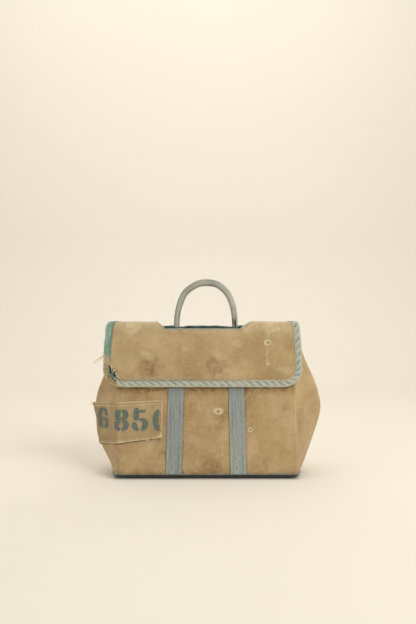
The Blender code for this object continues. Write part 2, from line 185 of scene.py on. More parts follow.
def start_material(name: str, roughness: float, sheen: float) -> tuple:
    """Begin a cloth material.

    Args:
        name: The material's name.
        roughness: How matt the cloth is.
        sheen: How much light its loose fibres catch.

    Returns:
        The material, its node tree and its main shader.
    """
    material = bpy.data.materials.new(name)
    material.use_nodes = True
    tree = material.node_tree
    shader = tree.nodes["Principled BSDF"]
    shader.inputs["Roughness"].default_value = roughness
    shader.inputs["Specular IOR Level"].default_value = CLOTH_SPECULAR
    shader.inputs["Sheen Weight"].default_value = sheen
    shader.inputs["Sheen Roughness"].default_value = SHEEN_ROUGHNESS
    return material, tree, shader


def grain(
    tree: bpy.types.NodeTree,
    vector: object,
    widths: tuple[float, float, float],
    detail: float = 2.0,
    offset: float = 0.0,
) -> bpy.types.NodeSocket:
    """Read noise whose grains have a real width along each direction.

    Args:
        tree: The material's node tree.
        vector: The socket with the coordinates, in metres.
        widths: The grains' width along each coordinate, in metres.
        detail: How many finer layers the noise has.
        offset: Moves the pattern, so that two are unlike.

    Returns:
        The noise's value socket, from 0 to 1.
    """
    scale = tuple(1 / width for width in widths)
    moved = add_node(
        tree, "Mapping", {"Vector": vector, "Scale": scale, "Location": (offset,) * 3}
    )
    inputs = {"Vector": moved, "Scale": 1.0, "Detail": detail, "Roughness": GRAIN_ROUGHNESS}
    return add_node(tree, "TexNoise", inputs)


def finish_material(
    tree: bpy.types.NodeTree,
    shader: bpy.types.Node,
    colour: object,
    height: object = None,
    depth: float = 0.0,
) -> None:
    """Give the shader its colour and raise the surface by a height.

    Args:
        tree: The material's node tree.
        shader: The main shader.
        colour: The socket with the colour.
        height: The socket with the height, if the surface is not smooth.
        depth: The height's full depth, in metres.
    """
    tree.links.new(colour, shader.inputs["Base Color"])
    if height is not None:
        inputs = {"Height": height, "Distance": depth, "Strength": 1.0}
        tree.links.new(add_node(tree, "Bump", inputs), shader.inputs["Normal"])


# Finishes.


@dataclass(frozen=True)
class CottonDuck:
    """Plain-woven cotton canvas: matt, slubby, stained in soft clouds and bleached by the sun."""

    light: str = "#D2B88D"
    middle: str = "#C0A373"
    dark: str = "#A28456"
    # Pale tone that both wear and painted highlight mix towards.
    bleach_and_highlight: str = "#DBCBA5"
    # Brown that both soiling and painted shade mix towards.
    grime_and_shade_colour: str = "#86683F"
    ink: str = "#456A60"
    ink_grey: str = "#54666D"
    thread_width: float = 1.3 * MM
    slub_length: float = 16 * MM
    slub_width: float = 2.4 * MM
    cloud: float = 75 * MM
    offset: float = 0.0

    def cloud_colour(self, tree: bpy.types.NodeTree, uv: object) -> bpy.types.NodeSocket:
        """Colour the cloth in soft clouds with fine mottling over them."""
        clouds = grain(tree, uv, (self.cloud,) * 3, 4.0, self.offset)
        mottle = grain(tree, uv, (7 * MM,) * 3, 3.0, self.offset + 5)
        cloudy = add_node(tree, "MapRange", {"Value": clouds, "From Min": 0.35, "From Max": 0.66})
        base = add_node(
            tree,
            "Mix",
            {0: cloudy, 6: linear(self.dark), 7: linear(self.light)},
            output=2,
            data_type="RGBA",
        )
        toned = add_node(
            tree, "Mix", {0: 0.3, 6: base, 7: linear(self.middle)}, output=2, data_type="RGBA"
        )
        flecks = add_node(tree, "MapRange", {"Value": mottle, "From Min": 0.3, "From Max": 0.72})
        flecked = add_node(
            tree, "Mix", {
                0: add_node(tree, "Math", {0: flecks, 1: 0.32}, operation="MULTIPLY"),
                6: toned,
                7: linear(self.light),
            }, output=2, data_type="RGBA"
        )
        specks = add_node(
            tree, "MapRange", {
                "Value": grain(tree, uv, (5 * MM,) * 3, 1.0, self.offset + 11),
                "From Min": 0.66,
                "From Max": 0.76,
                "To Max": 0.45,
            }
        )
        return add_node(
            tree, "Mix", {0: specks, 6: flecked, 7: linear(self.grime_and_shade_colour)}, output=2, data_type="RGBA"
        )

    def weave(self, tree: bpy.types.NodeTree, uv: object) -> bpy.types.NodeSocket:
        """Cross the slubs of warp and weft, drawn twice as wide as real ones so that they show."""
        warp = grain(tree, uv, (self.slub_width, self.slub_length, 1.0), 1.5, self.offset)
        weft = grain(tree, uv, (self.slub_length, self.slub_width, 1.0), 1.5, self.offset + 9)
        slubs = add_node(tree, "Math", {0: warp, 1: weft}, operation="ADD")
        waves = [add_node(
            tree,
            "TexWave",
            {"Vector": uv, "Scale": 0.314 / self.thread_width, "Distortion": 0.6, "Detail": 1.0},
            output="Fac",
            bands_direction=axis,
        ) for axis in ("X", "Y")]
        threads = add_node(tree, "Math", {0: waves[0], 1: waves[1]}, operation="MULTIPLY")
        return add_node(
            tree,
            "Math",
            {0: slubs, 1: add_node(tree, "Math", {0: threads, 1: 0.5}, operation="MULTIPLY")},
            operation="ADD",
        )

    def build(self, name: str) -> bpy.types.Material:
        """Make the material: a tan cloth whose painted wear, grime, ink, painted shade and painted
        highlight show where they lie.
        """
        material, tree, shader = start_material(name, 0.92, 0.18)
        uv = add_node(tree, "UVMap", uv_map="cloth")
        colour = self.cloud_colour(tree, uv)
        weave = self.weave(tree, uv)
        shaded = add_node(tree, "MapRange", {"Value": weave, "From Min": 0.7, "From Max": 1.5})
        colour = add_node(
            tree, "Mix", {
                0: add_node(tree, "Math", {0: shaded, 1: 0.3}, operation="MULTIPLY"),
                6: colour,
                7: linear(self.dark),
            }, output=2, data_type="RGBA"
        )
        breakup = grain(tree, uv, (9 * MM,) * 3, 4.0, self.offset + 2)
        # The soiling mask also holds painted shade and the wear mask also holds painted highlight;
        # each mixes its colour in here.
        for key, code in (("grime", self.grime_and_shade_colour), ("wear", self.bleach_and_highlight)):
            marks_and_painted_light = add_node(tree, "Math", {
                0: add_node(tree, "Attribute", output="Fac", attribute_name=key),
                1: add_node(
                    tree, "MapRange", {"Value": breakup, "From Min": 0.25, "From Max": 0.62}
                ),
            }, operation="MULTIPLY")
            colour = add_node(
                tree, "Mix", {0: marks_and_painted_light, 6: colour, 7: linear(code)}, output=2, data_type="RGBA"
            )
        ink_tone = add_node(
            tree,
            "MapRange",
            {"Value": grain(tree, uv, (26 * MM,) * 3, 1.0, 3.0), "From Min": 0.4, "From Max": 0.6},
        )
        ink = add_node(
            tree,
            "Mix",
            {0: ink_tone, 6: linear(self.ink), 7: linear(self.ink_grey)},
            output=2,
            data_type="RGBA",
        )
        rubbed = add_node(
            tree,
            "MapRange",
            {"Value": grain(tree, uv, (3.2 * MM,) * 3, 4.0, 7.0), "From Min": 0.2, "From Max": 0.5},
        )
        strength = add_node(
            tree,
            "Math",
            {
                0: add_node(tree, "Attribute", output="Fac", attribute_name="ink"),
                1: add_node(tree, "Math", {0: rubbed, 1: 0.92}, operation="MULTIPLY"),
            },
            operation="MULTIPLY",
        )
        colour = add_node(tree, "Mix", {0: strength, 6: colour, 7: ink}, output=2, data_type="RGBA")
        finish_material(tree, shader, colour, weave, 0.5 * MM)
        return material


@dataclass(frozen=True)
class Webbing:
    """Woven cotton webbing: grey ribs with pale and blue warp lines that run its whole length."""

    middle: str = "#949A97"
    dark: str = "#646E6F"
    pale: str = "#C0C2B8"
    blue: str = "#73858C"
    edge: str = "#9DA6A4"
    # Grey that soiling and the painted shade under the flap mix towards.
    grime_and_shade_colour: str = "#5E625A"
    speckle: float = 0.7
    bands: tuple = (
        (0.0, "blue"),
        (0.045, "edge"),
        (0.115, "middle"),
        (0.15, "pale"),
        (0.19, "dark"),
        (0.235, "middle"),
        (0.765, "middle"),
        (0.81, "dark"),
        (0.85, "pale"),
        (0.885, "middle"),
        (0.955, "edge"),
        (1.0, "blue"),
    )

    def build(self, name: str) -> bpy.types.Material:
        """Make the material from the tape's own width, as a share, and its length in metres."""
        material, tree, shader = start_material(name, 0.88, 0.2)
        uv = add_node(tree, "UVMap", uv_map="cloth")
        across = add_node(tree, "SeparateXYZ", {0: uv})
        ramp = add_node(tree, "ValToRGB", {"Fac": across})
        points = ramp.node.color_ramp.elements
        while len(points) < len(self.bands):
            points.new(0.5)
        for point, (position, tone) in zip(points, self.bands):
            point.position = position
            point.color = linear(getattr(self, tone))
        # The width is a share, so a thread across it is narrow in that share and long in metres.
        warp = grain(tree, uv, (0.035, 9 * MM, 1.0), 2.0)
        weft = grain(tree, uv, (0.25, 1.7 * MM, 1.0), 2.0, 4.0)
        threads = add_node(tree, "Math", {0: warp, 1: weft}, operation="ADD")
        dots = add_node(
            tree, "Math", {
                0: add_node(
                    tree, "MapRange", {"Value": threads, "From Min": 0.78, "From Max": 1.22}
                ), 1: self.speckle
            }, operation="MULTIPLY"
        )
        colour = add_node(
            tree, "Mix", {0: dots, 6: linear(self.dark), 7: ramp}, output=2, data_type="RGBA"
        )
        faded = add_node(
            tree, "MapRange", {
                "Value": grain(tree, uv, (0.07, 70 * MM, 1.0), 3.0, 8.0),
                "From Min": 0.42,
                "From Max": 0.68,
                "To Max": 0.5,
            }
        )
        colour = add_node(
            tree, "Mix", {0: faded, 6: colour, 7: linear(self.pale)}, output=2, data_type="RGBA"
        )
        colour = add_node(tree, "Mix", {0: 0.25, 6: colour, 7: ramp}, output=2, data_type="RGBA")
        # Wear and the painted light on the handle's right leg pale the webbing here.
        bleach_and_highlight = add_node(tree, "Math", {
            0: add_node(tree, "Attribute", output="Fac", attribute_name="wear"),
            1: add_node(tree, "MapRange", {"Value": warp, "From Min": 0.2, "From Max": 0.6}),
        }, operation="MULTIPLY")
        colour = add_node(
            tree, "Mix", {0: bleach_and_highlight, 6: colour, 7: linear(self.pale)}, output=2, data_type="RGBA"
        )
        # Soiling and painted shade darken the webbing here.
        marks_and_painted_light = add_node(
            tree,
            "Math",
            {0: add_node(tree, "Attribute", output="Fac", attribute_name="grime"), 1: 0.8},
            operation="MULTIPLY",
        )
        colour = add_node(
            tree, "Mix", {0: marks_and_painted_light, 6: colour, 7: linear(self.grime_and_shade_colour)}, output=2, data_type="RGBA"
        )
        finish_material(tree, shader, colour, threads, 0.45 * MM)
        return material


@dataclass(frozen=True)
class StripedTape:
    """Folded cotton binding tape: cream with faded diagonal stripes, sea-green where unworn."""

    cream: str = "#BFBBA4"
    stripe: str = "#687E89"
    fresh: str = "#86AC9B"
    fresh_stripe: str = "#3F7F6C"
    line: str = "#3E5964"
    pitch: float = 14.5 * MM
    slant: float = -1.7

    def build(self, name: str) -> bpy.types.Material:
        """Make the material from the tape's length and width, both in metres."""
        material, tree, shader = start_material(name, 0.88, 0.25)
        uv = add_node(tree, "UVMap", uv_map="cloth")
        along = add_node(tree, "SeparateXYZ", {0: uv})
        across = along.node.outputs[1]
        wander = add_node(
            tree, "Math", {0: grain(tree, uv, (22 * MM,) * 3, 2.0), 1: 7 * MM}, operation="MULTIPLY"
        )
        leaning = add_node(tree, "Math", {0: across, 1: self.slant}, operation="MULTIPLY")
        place = add_node(
            tree,
            "Math",
            {0: add_node(tree, "Math", {0: along, 1: leaning}, operation="ADD"), 1: wander},
            operation="ADD",
        )
        turn = add_node(tree, "Math", {0: place, 1: 2 * math.pi / self.pitch}, operation="MULTIPLY")
        band = add_node(
            tree, "MapRange", {
                "Value": add_node(tree, "Math", {0: turn}, operation="SINE"),
                "From Min": -0.45,
                "From Max": 0.75,
            }
        )
        patchy = add_node(
            tree, "MapRange", {
                "Value": grain(tree, uv, (17 * MM, 9 * MM, 1.0), 3.0, 6.0),
                "From Min": 0.26,
                "From Max": 0.56,
            }
        )
        band = add_node(tree, "Math", {0: band, 1: patchy}, operation="MULTIPLY")
        band = add_node(
            tree,
            "Math",
            {0: band, 1: add_node(tree, "Attribute", output="Fac", attribute_name="striped")},
            operation="MULTIPLY",
        )
        streaks = add_node(
            tree, "MapRange", {
                "Value": grain(tree, uv, (40 * MM, 2.2 * MM, 1.0), 3.0, 2.0),
                "From Min": 0.35,
                "From Max": 0.65,
            }
        )
        old = add_node(
            tree,
            "Mix",
            {
                0: add_node(tree, "Math", {0: band, 1: 0.9}, operation="MULTIPLY"),
                6: linear(self.cream),
                7: linear(self.stripe),
            },
            output=2,
            data_type="RGBA",
        )
        new = add_node(
            tree,
            "Mix",
            {0: streaks, 6: linear(self.fresh), 7: linear(self.fresh_stripe)},
            output=2,
            data_type="RGBA",
        )
        colour = add_node(
            tree,
            "Mix",
            {0: add_node(tree, "Attribute", output="Fac", attribute_name="fresh"), 6: old, 7: new},
            output=2,
            data_type="RGBA",
        )
        edge = add_node(
            tree,
            "Math",
            {0: add_node(tree, "Attribute", output="Fac", attribute_name="line"), 1: 0.9},
            operation="MULTIPLY",
        )
        colour = add_node(
            tree, "Mix", {0: edge, 6: colour, 7: linear(self.line)}, output=2, data_type="RGBA"
        )
        fleck = grain(tree, uv, (1.6 * MM, 4 * MM, 1.0), 2.0)
        dulled = add_node(
            tree, "MapRange", {"Value": fleck, "From Min": 0.35, "From Max": 0.7, "To Max": 0.3}
        )
        colour = add_node(
            tree, "Mix", {0: dulled, 6: colour, 7: linear(self.cream)}, output=2, data_type="RGBA"
        )
        weave = add_node(
            tree,
            "Math",
            {0: fleck, 1: add_node(tree, "Math", {0: band, 1: 0.4}, operation="MULTIPLY")},
            operation="ADD",
        )
        finish_material(tree, shader, colour, weave, 0.5 * MM)
        return material


@dataclass(frozen=True)
class CottonThread:
    """Spun cotton thread or cord: matt, fuzzy and uneven in tone along its length."""

    light: str
    dark: str
    length: float = 5 * MM
    roughness: float = 0.85

    def build(self, name: str) -> bpy.types.Material:
        """Make the material, with its tone broken up along real lengths."""
        material, tree, shader = start_material(name, self.roughness, 0.3)
        where = add_node(tree, "TexCoord", output="Object")
        tone = add_node(
            tree, "MapRange", {
                "Value": grain(tree, where, (self.length,) * 3, 3.0),
                "From Min": 0.32,
                "From Max": 0.68,
            }
        )
        colour = add_node(
            tree,
            "Mix",
            {0: tone, 6: linear(self.dark), 7: linear(self.light)},
            output=2,
            data_type="RGBA",
        )
        fuzz = grain(tree, where, (0.9 * MM,) * 3, 2.0, 3.0)
        finish_material(tree, shader, colour, fuzz, 0.25 * MM)
        return material


@dataclass(frozen=True)
class SeamlessPaper:
    """Background paper: smooth, matt and pale, with the faintest unevenness of tone."""

    colour: str
    shade: str

    def build(self, name: str) -> bpy.types.Material:
        """Make the material for the stage."""
        material, tree, shader = start_material(name, 0.95, 0.0)
        where = add_node(tree, "TexCoord", output="Object")
        tone = add_node(
            tree, "MapRange", {
                "Value": grain(tree, where, (0.6,) * 3, 2.0),
                "From Min": 0.3,
                "From Max": 0.7,
                "To Max": 0.5,
            }
        )
        colour = add_node(
            tree,
            "Mix",
            {0: tone, 6: linear(self.colour), 7: linear(self.shade)},
            output=2,
            data_type="RGBA",
        )
        finish_material(tree, shader, colour)
        return material


class Finish(Enum):
    """The cloths, tapes and threads that the satchel is sewn from."""

    # Plain-woven cotton duck, sun-faded: a matt tan with soft clouds, slubs and brown marks.
    WOVEN_DUCK_BODY = CottonDuck()
    # The same duck, handled more: paler folds, partly painted highlight, and round water stains.
    WOVEN_DUCK_FLAP = CottonDuck(light="#D0B78D", middle="#BEA273", dark="#9F8356", offset=3.0)
    # Duck for the base, coloured nearly black as painted shade, so the bag seems to float on its
    # own shadow.
    WAXED_DUCK_BASE = CottonDuck(
        light="#423D33", middle="#342F28", dark="#27231D", grime_and_shade_colour="#1F1C17", offset=5.0
    )
    # A scrap of greyer duck that carries blotchy stencil ink.
    WOVEN_DUCK_PATCH = CottonDuck(light="#C0A87E", middle="#AF9468", dark="#967C52", offset=8.0)
    # Flat webbing: grey ribs with pale double lines inside blue selvedges.
    WOVEN_COTTON_WEBBING = Webbing()
    # Webbing rolled round: paler, with its lines running along the loop.
    ROLLED_COTTON_WEBBING = Webbing(
        middle="#B5B3A5",
        dark="#7F8277",
        pale="#D2CFC2",
        blue="#98A39D",
        edge="#BEBCAE",
        speckle=0.35,
        bands=(
            (0.0, "middle"),
            (0.12, "pale"),
            (0.24, "edge"),
            (0.35, "middle"),
            (0.39, "blue"),
            (0.43, "edge"),
            (0.52, "pale"),
            (0.6, "middle"),
            (0.64, "dark"),
            (0.68, "edge"),
            (0.85, "pale"),
            (1.0, "middle"),
        ),
    )
    # Folded tape: cream with blue-grey diagonals, sea-green where it is unfaded.
    STRIPED_COTTON_TAPE = StripedTape()
    # Cord in cotton bias: a fine grey-green line round the base.
    CORDED_COTTON_PIPING = CottonThread("#84988F", "#586E66", 14 * MM)
    # Unfaded hem tape: deep green, darkened nearly to black as painted shade in the mouth.
    GREEN_COTTON_HEM_TAPE = CottonThread("#44665A", "#1B2C27", 13 * MM)
    # Narrow undyed tape: a pale lip along the slot.
    UNDYED_COTTON_TAPE = CottonThread("#B9B5A0", "#9A9E92", 12 * MM)
    # Loose-spun darning cotton: cream, raised and fuzzy.
    SPUN_COTTON_DARNING = CottonThread("#E6D8B4", "#CDB98C", 4 * MM)
    # Waxed sewing thread: small orange-brown dashes.
    WAXED_LINEN_THREAD = CottonThread("#B08A54", "#8F6A38", 4 * MM)
    # A dark brown cord under the patch's lower edge: a painted shadow line.
    FOLDED_DUCK_EDGE = CottonThread("#8B6B40", "#654A28", 9 * MM)
    # Blue-grey sewing cotton: broken dashes along the tape.
    BLUE_COTTON_THREAD = CottonThread("#7E8C96", "#5A6872", 4 * MM)
    # Unravelled warp yarn: pale cream wisps.
    FRAYED_COTTON_YARN = CottonThread("#E4DBBE", "#C6B88F", 7 * MM)
    # Two yarns still twisted: a darker straw colour, thick enough to see alone.
    TWISTED_COTTON_YARN = CottonThread("#CDB98D", "#A38B5C", 9 * MM)
    # Green lining in a tear: near-black painted shade in the gap, with teal in patches along it.
    GREEN_COTTON_LINING = CottonThread("#2E6E60", "#0D211D", 7 * MM)

    def material(self) -> bpy.types.Material:
        """Give this finish's material, which is made once."""
        name = self.name.lower()
        return bpy.data.materials.get(name) or self.value.build(name)


# Making pieces.


@dataclass
class ClothGrid:
    """A sheet of cloth given by a place for each point of a grid.

    The outer face looks along the first direction crossed with the second.
    """

    name: str
    across: int
    along: int
    place: Place
    measure: Measure
    thickness: float = 0.0
    paint: dict[str, Paint] = field(default_factory=dict)
    keep: Callable[[float, float], bool] | None = None
    closed: bool = False

    def build(self) -> bpy.types.Object:
        """Make the sheet, thick where it has a thickness and capped where it is a tube."""
        shape = bmesh.new()
        bmesh.ops.create_grid(shape, x_segments=self.across, y_segments=self.along, size=0.5)
        if self.keep:
            cut = [f for f in shape.faces if not self.keep(*self.share(f.calc_center_median()))]
            bmesh.ops.delete(shape, geom=cut, context="FACES")
        cloth = shape.loops.layers.uv.new("cloth")
        for face in shape.faces:
            for loop in face.loops:
                loop[cloth].uv = self.measure(*self.share(loop.vert.co))
        layers = {key: shape.verts.layers.float.new(key) for key in self.paint}
        for vert in shape.verts:
            spot = self.share(vert.co)
            for key, layer in layers.items():
                vert[layer] = self.paint[key](*spot)
            vert.co = self.place(*spot)
        if self.closed:
            bmesh.ops.remove_doubles(shape, verts=shape.verts, dist=1e-5)
            rims = [edge for edge in shape.edges if edge.is_boundary]
            bmesh.ops.holes_fill(shape, edges=rims, sides=0)
            bmesh.ops.recalc_face_normals(shape, faces=shape.faces)
        piece = add_piece(self.name, shape)
        if self.thickness:
            thicken(piece, self.thickness)
        soften(piece)
        return piece

    @staticmethod
    def share(spot: Vector) -> tuple[float, float]:
        """Turn a place on the flat grid into shares of its two sides."""
        return (spot.x + 0.5, spot.y + 0.5)


def add_piece(name: str, shape: bmesh.types.BMesh) -> bpy.types.Object:
    """Make an object at the origin from a finished mesh."""
    mesh = bpy.data.meshes.new(name)
    shape.to_mesh(mesh)
    shape.free()
    piece = bpy.data.objects.new(name, mesh)
    bpy.context.scene.collection.objects.link(piece)
    return piece


def apply_modifiers(piece: bpy.types.Object) -> None:
    """Keep the shape that a piece's modifiers give and take the modifiers off."""
    graph = bpy.context.evaluated_depsgraph_get()
    shaped = piece.evaluated_get(graph)
    mesh = bpy.data.meshes.new_from_object(shaped, preserve_all_data_layers=True, depsgraph=graph)
    piece.modifiers.clear()
    piece.data = mesh


def thicken(piece: bpy.types.Object, thickness: float) -> None:
    """Give a sheet its thickness behind its outer face."""
    solid = piece.modifiers.new("thickness", "SOLIDIFY")
    solid.thickness = thickness
    solid.offset = -1
    solid.use_even_offset = False
    apply_modifiers(piece)


def soften(piece: bpy.types.Object, crease: float = 50.0) -> None:
    """Shade a piece smooth, with creases sharper than an angle in degrees left sharp."""
    piece.data.shade_smooth()
    piece.data.set_sharp_from_angle(angle=math.radians(crease))


def add_threads(
    name: str, lines: Iterable[Sequence[Vector]], radius: float, taper: float = 1.0, sides: int = 1
) -> bpy.types.Object:
    """Make one piece from many thin round threads.

    Args:
        name: The piece's name.
        lines: The points that each thread runs through.
        radius: Half a thread's width, in metres.
        taper: The share of the radius that is left at a thread's far end.
        sides: The bevel resolution of a thread.

    Returns:
        The threads as one mesh.
    """
    curve = bpy.data.curves.new(name, "CURVE")
    curve.dimensions = "3D"
    curve.bevel_depth = radius
    curve.bevel_resolution = sides
    curve.use_fill_caps = True
    for line in lines:
        spline = curve.splines.new("POLY")
        spline.points.add(len(line) - 1)
        for index, (point, spot) in enumerate(zip(spline.points, line)):
            point.co = (*spot, 1.0)
            point.radius = mix(1.0, taper, index / (len(line) - 1))
    drawn = bpy.data.objects.new(name + "_drawn", curve)
    bpy.context.scene.collection.objects.link(drawn)
    graph = bpy.context.evaluated_depsgraph_get()
    mesh = bpy.data.meshes.new_from_object(drawn.evaluated_get(graph))
    bpy.data.objects.remove(drawn, do_unlink=True)
    bpy.data.curves.remove(curve)
    piece = bpy.data.objects.new(name, mesh)
    bpy.context.scene.collection.objects.link(piece)
    soften(piece, 70.0)
    return piece


def dress(
    piece: bpy.types.Object, finish: Finish, body: str, replaced: Sequence[str] = ()
) -> bpy.types.Object:
    """Give a piece its finish and let it ride on a body.

    Args:
        piece: The finished piece.
        finish: The cloth, tape or thread that it is made of.
        body: The body that it moves with.
        replaced: The frame's nodes that it stands for.

    Returns:
        The same piece.
    """
    paint_piece(piece, finish, replaced)
    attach(piece, body)
    return piece


def paint_piece(
    piece: bpy.types.Object, finish: Finish, replaced: Sequence[str] = ()
) -> None:
    """Give a piece its finish and hide the nodes that it stands for."""
    piece.data.materials.clear()
    piece.data.materials.append(finish.material())
    if replaced:
        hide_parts(*replaced)
    LOG.info("%s: %d faces", piece.name, len(piece.data.polygons))


def stitches(
    path: Callable[[float], Vector], length: float, pitch: float, stitch: float, lift: Vector
) -> list[list[Vector]]:
    """Lay a row of stitches along a path.

    Args:
        path: Gives the place at a distance along the row.
        length: The row's length, in metres.
        pitch: The distance from one stitch to the next.
        stitch: The length of one stitch on the surface.
        lift: How far the middle of a stitch stands off the cloth.

    Returns:
        The lines of the stitches.
    """
    rows = []
    for index in range(int(length / pitch)):
        start = index * pitch
        middle = path(start + stitch / 2) + lift
        rows.append([path(start) - lift, middle, path(start + stitch) - lift])
    return rows


# The standing shape.


@dataclass
class BagForm:
    """The shape of the filled, standing bag that all the sewn pieces lie on."""

    canvas: float = 1.6 * MM
    hem_z: float = 10.5 * MM
    belly: float = 2.6 * MM
    belly_height: float = 215 * MM
    seam_roll: float = 7 * MM
    seam_depth: float = 1.4 * MM
    ridge_softness: float = 0.2
    gusset_sink: float = 3.5 * MM
    right_ridge: tuple = ((3, 179), (10, 187), (43, 201.5), (72, 212), (105, 222.5), (132, 226.5),
                          (155, 222.5), (180, 213.5), (231, 192), (284, 178))
    creases: tuple = (
        (-168, 172, -128, 150, 1.8, 7),
        (-150, 176, -96, 160, 1.3, 6),
        (-42, 168, 38, 152, 1.0, 9),
        (168, 160, 128, 120, 1.2, 8),
        (160, 60, 110, 22, 1.1, 8),
        (-36, 40, 34, 18, 1.0, 9),
        (-160, 48, -100, 20, 1.0, 8),
    )
    left_ridge: tuple = ((3, 177), (8, 183), (50, 206), (75, 213.5), (105, 216), (135, 218),
                         (160, 213.5), (180, 206.5), (231, 190), (284, 178))

    def __post_init__(self) -> None:
        """Take the panels' planes and edges from the frame."""
        low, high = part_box("front_panel")
        self.base_z = low.z
        self.front_rim = high.z
        self.rear_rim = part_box("rear_panel")[1].z
        self.base_y = low.y
        self.slope = (high.y - self.canvas - low.y) / (high.z - low.z)
        self.lean = math.atan(self.slope)
        self.outward = Vector((0, -math.cos(self.lean), math.sin(self.lean)))
        self.base_half = high.x
        top_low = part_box("mouth_hem_front")[1].x + 12 * MM
        self.rim_half = top_low
        self.ridges = {
            side: [(z * MM, x * MM) for z, x in knots]
            for side, knots in ((-1, self.left_ridge), (1, self.right_ridge))
        }

    def hem(self, turn: float) -> float:
        """Give the height of the body's lower hem round a gusset, lowest at its ridge."""
        return mix(5.5 * MM, self.hem_z, turn * turn)

    def panel_half(self, z: float) -> float:
        """Give half the panels' width at a height."""
        return mix(self.base_half, self.rim_half, clamp(z / self.rear_rim))

    def plane_y(self, z: float) -> float:
        """Give y on the front panel's flat plane at a height."""
        return self.base_y + (z - self.base_z) * self.slope

    def bulge(self, x: float, z: float, seed: float) -> float:
        """Say how far a panel's cloth stands out from its flat plane.

        Args:
            x: Distance from the middle of the bag.
            z: Height.
            seed: Picks one panel's ripples.

        Returns:
            A distance in metres, along the panel's outward direction.
        """
        half = self.panel_half(z)
        inside = 1 - (abs(x) / half) ** 4
        belly = self.belly * math.sin(math.pi * clamp(z / self.belly_height)) * max(inside, 0)
        calm = ease(185 * MM, 150 * MM, z) * 0.75 + 0.25
        soft = ripple(x, z * 0.7, 55 * MM, seed) * 1.4 * MM
        fine = ripple(x + z * 0.5, z - x * 0.3, 21 * MM, seed + 4) * 0.5 * MM
        drag = math.sin((x + z * 0.35) / (13 * MM)) * 0.25 * MM * ease(60 * MM, 5 * MM, z)
        return belly + (soft + fine + drag) * calm

    def crease(self, x: float, z: float) -> float:
        """Say how deep the set creases press into the front panel at a spot."""
        spot, deep = Vector((x, z)), 0.0
        for start_x, start_z, end_x, end_z, depth, wide in self.creases:
            start, end = Vector((start_x, start_z)) * MM, Vector((end_x, end_z)) * MM
            way = end - start
            share = clamp((spot - start).dot(way) / way.length_squared)
            away = (spot - start - way * share).length
            fade = math.sin(math.pi * mix(0.15, 0.85, share))
            deep += depth * MM * fade * ease(wide * MM, 0.0, away)
        return deep

    def swell(self, x: float, z: float, seed: float) -> float:
        """Say how far a panel stands out, with its sides rolled in to their seams."""
        half = self.panel_half(z)
        roll = self.seam_depth * ease(half - self.seam_roll, half, abs(x)) ** 2
        return self.bulge(x, z, seed) - self.crease(x, z) - roll

    def front(self, x: float, z: float, out: float = 0.0) -> Vector:
        """Give the place on the front panel's outer face, moved outwards by a distance."""
        flat = Vector((x, self.plane_y(z), z))
        return flat + self.outward * (out + self.swell(x, z, 1.0))

    def rear(self, x: float, z: float, out: float = 0.0) -> Vector:
        """Give the place on the rear panel's outer face, moved outwards by a distance."""
        flat = Vector((x, -self.plane_y(z), z))
        outward = Vector((0, -self.outward.y, self.outward.z))
        return flat + outward * (out + self.swell(x, z, 7.0))

    def gusset(self, side: int, turn: float, z: float, out: float = 0.0) -> Vector:
        """Give the place on a gusset's outer face.

        Args:
            side: -1 for the left gusset, 1 for the right one.
            turn: -1 at the front seam, 0 at the ridge, 1 at the rear seam.
            z: Height.
            out: A distance moved away from the bag.

        Returns:
            The place in metres.
        """
        half = self.panel_half(z) - 0.6 * MM
        seam_y = abs(self.plane_y(z)) - self.seam_depth - 0.2 * MM
        ridge = through(self.ridges[side], z)
        soft = self.ridge_softness
        far = math.sqrt(1 + soft * soft)
        bow = (far - math.sqrt(turn * turn + soft * soft)) / (far - soft)
        sink = self.gusset_sink * math.sin(math.pi * abs(turn)) ** 2 * ease(3 * MM, 60 * MM, z)
        folds = ripple(turn * 50 * MM, z * 0.8, 34 * MM, 11.0 + side) * 1.6 * MM
        folds *= 1 - turn**4
        reach = half + (ridge - half) * bow - sink + folds
        across = Vector((ridge - half, -math.copysign(seam_y, turn))).normalized()
        away = Vector((side * abs(across.y), math.copysign(abs(across.x), turn), 0))
        return Vector((side * reach, seam_y * turn, z)) + away * out


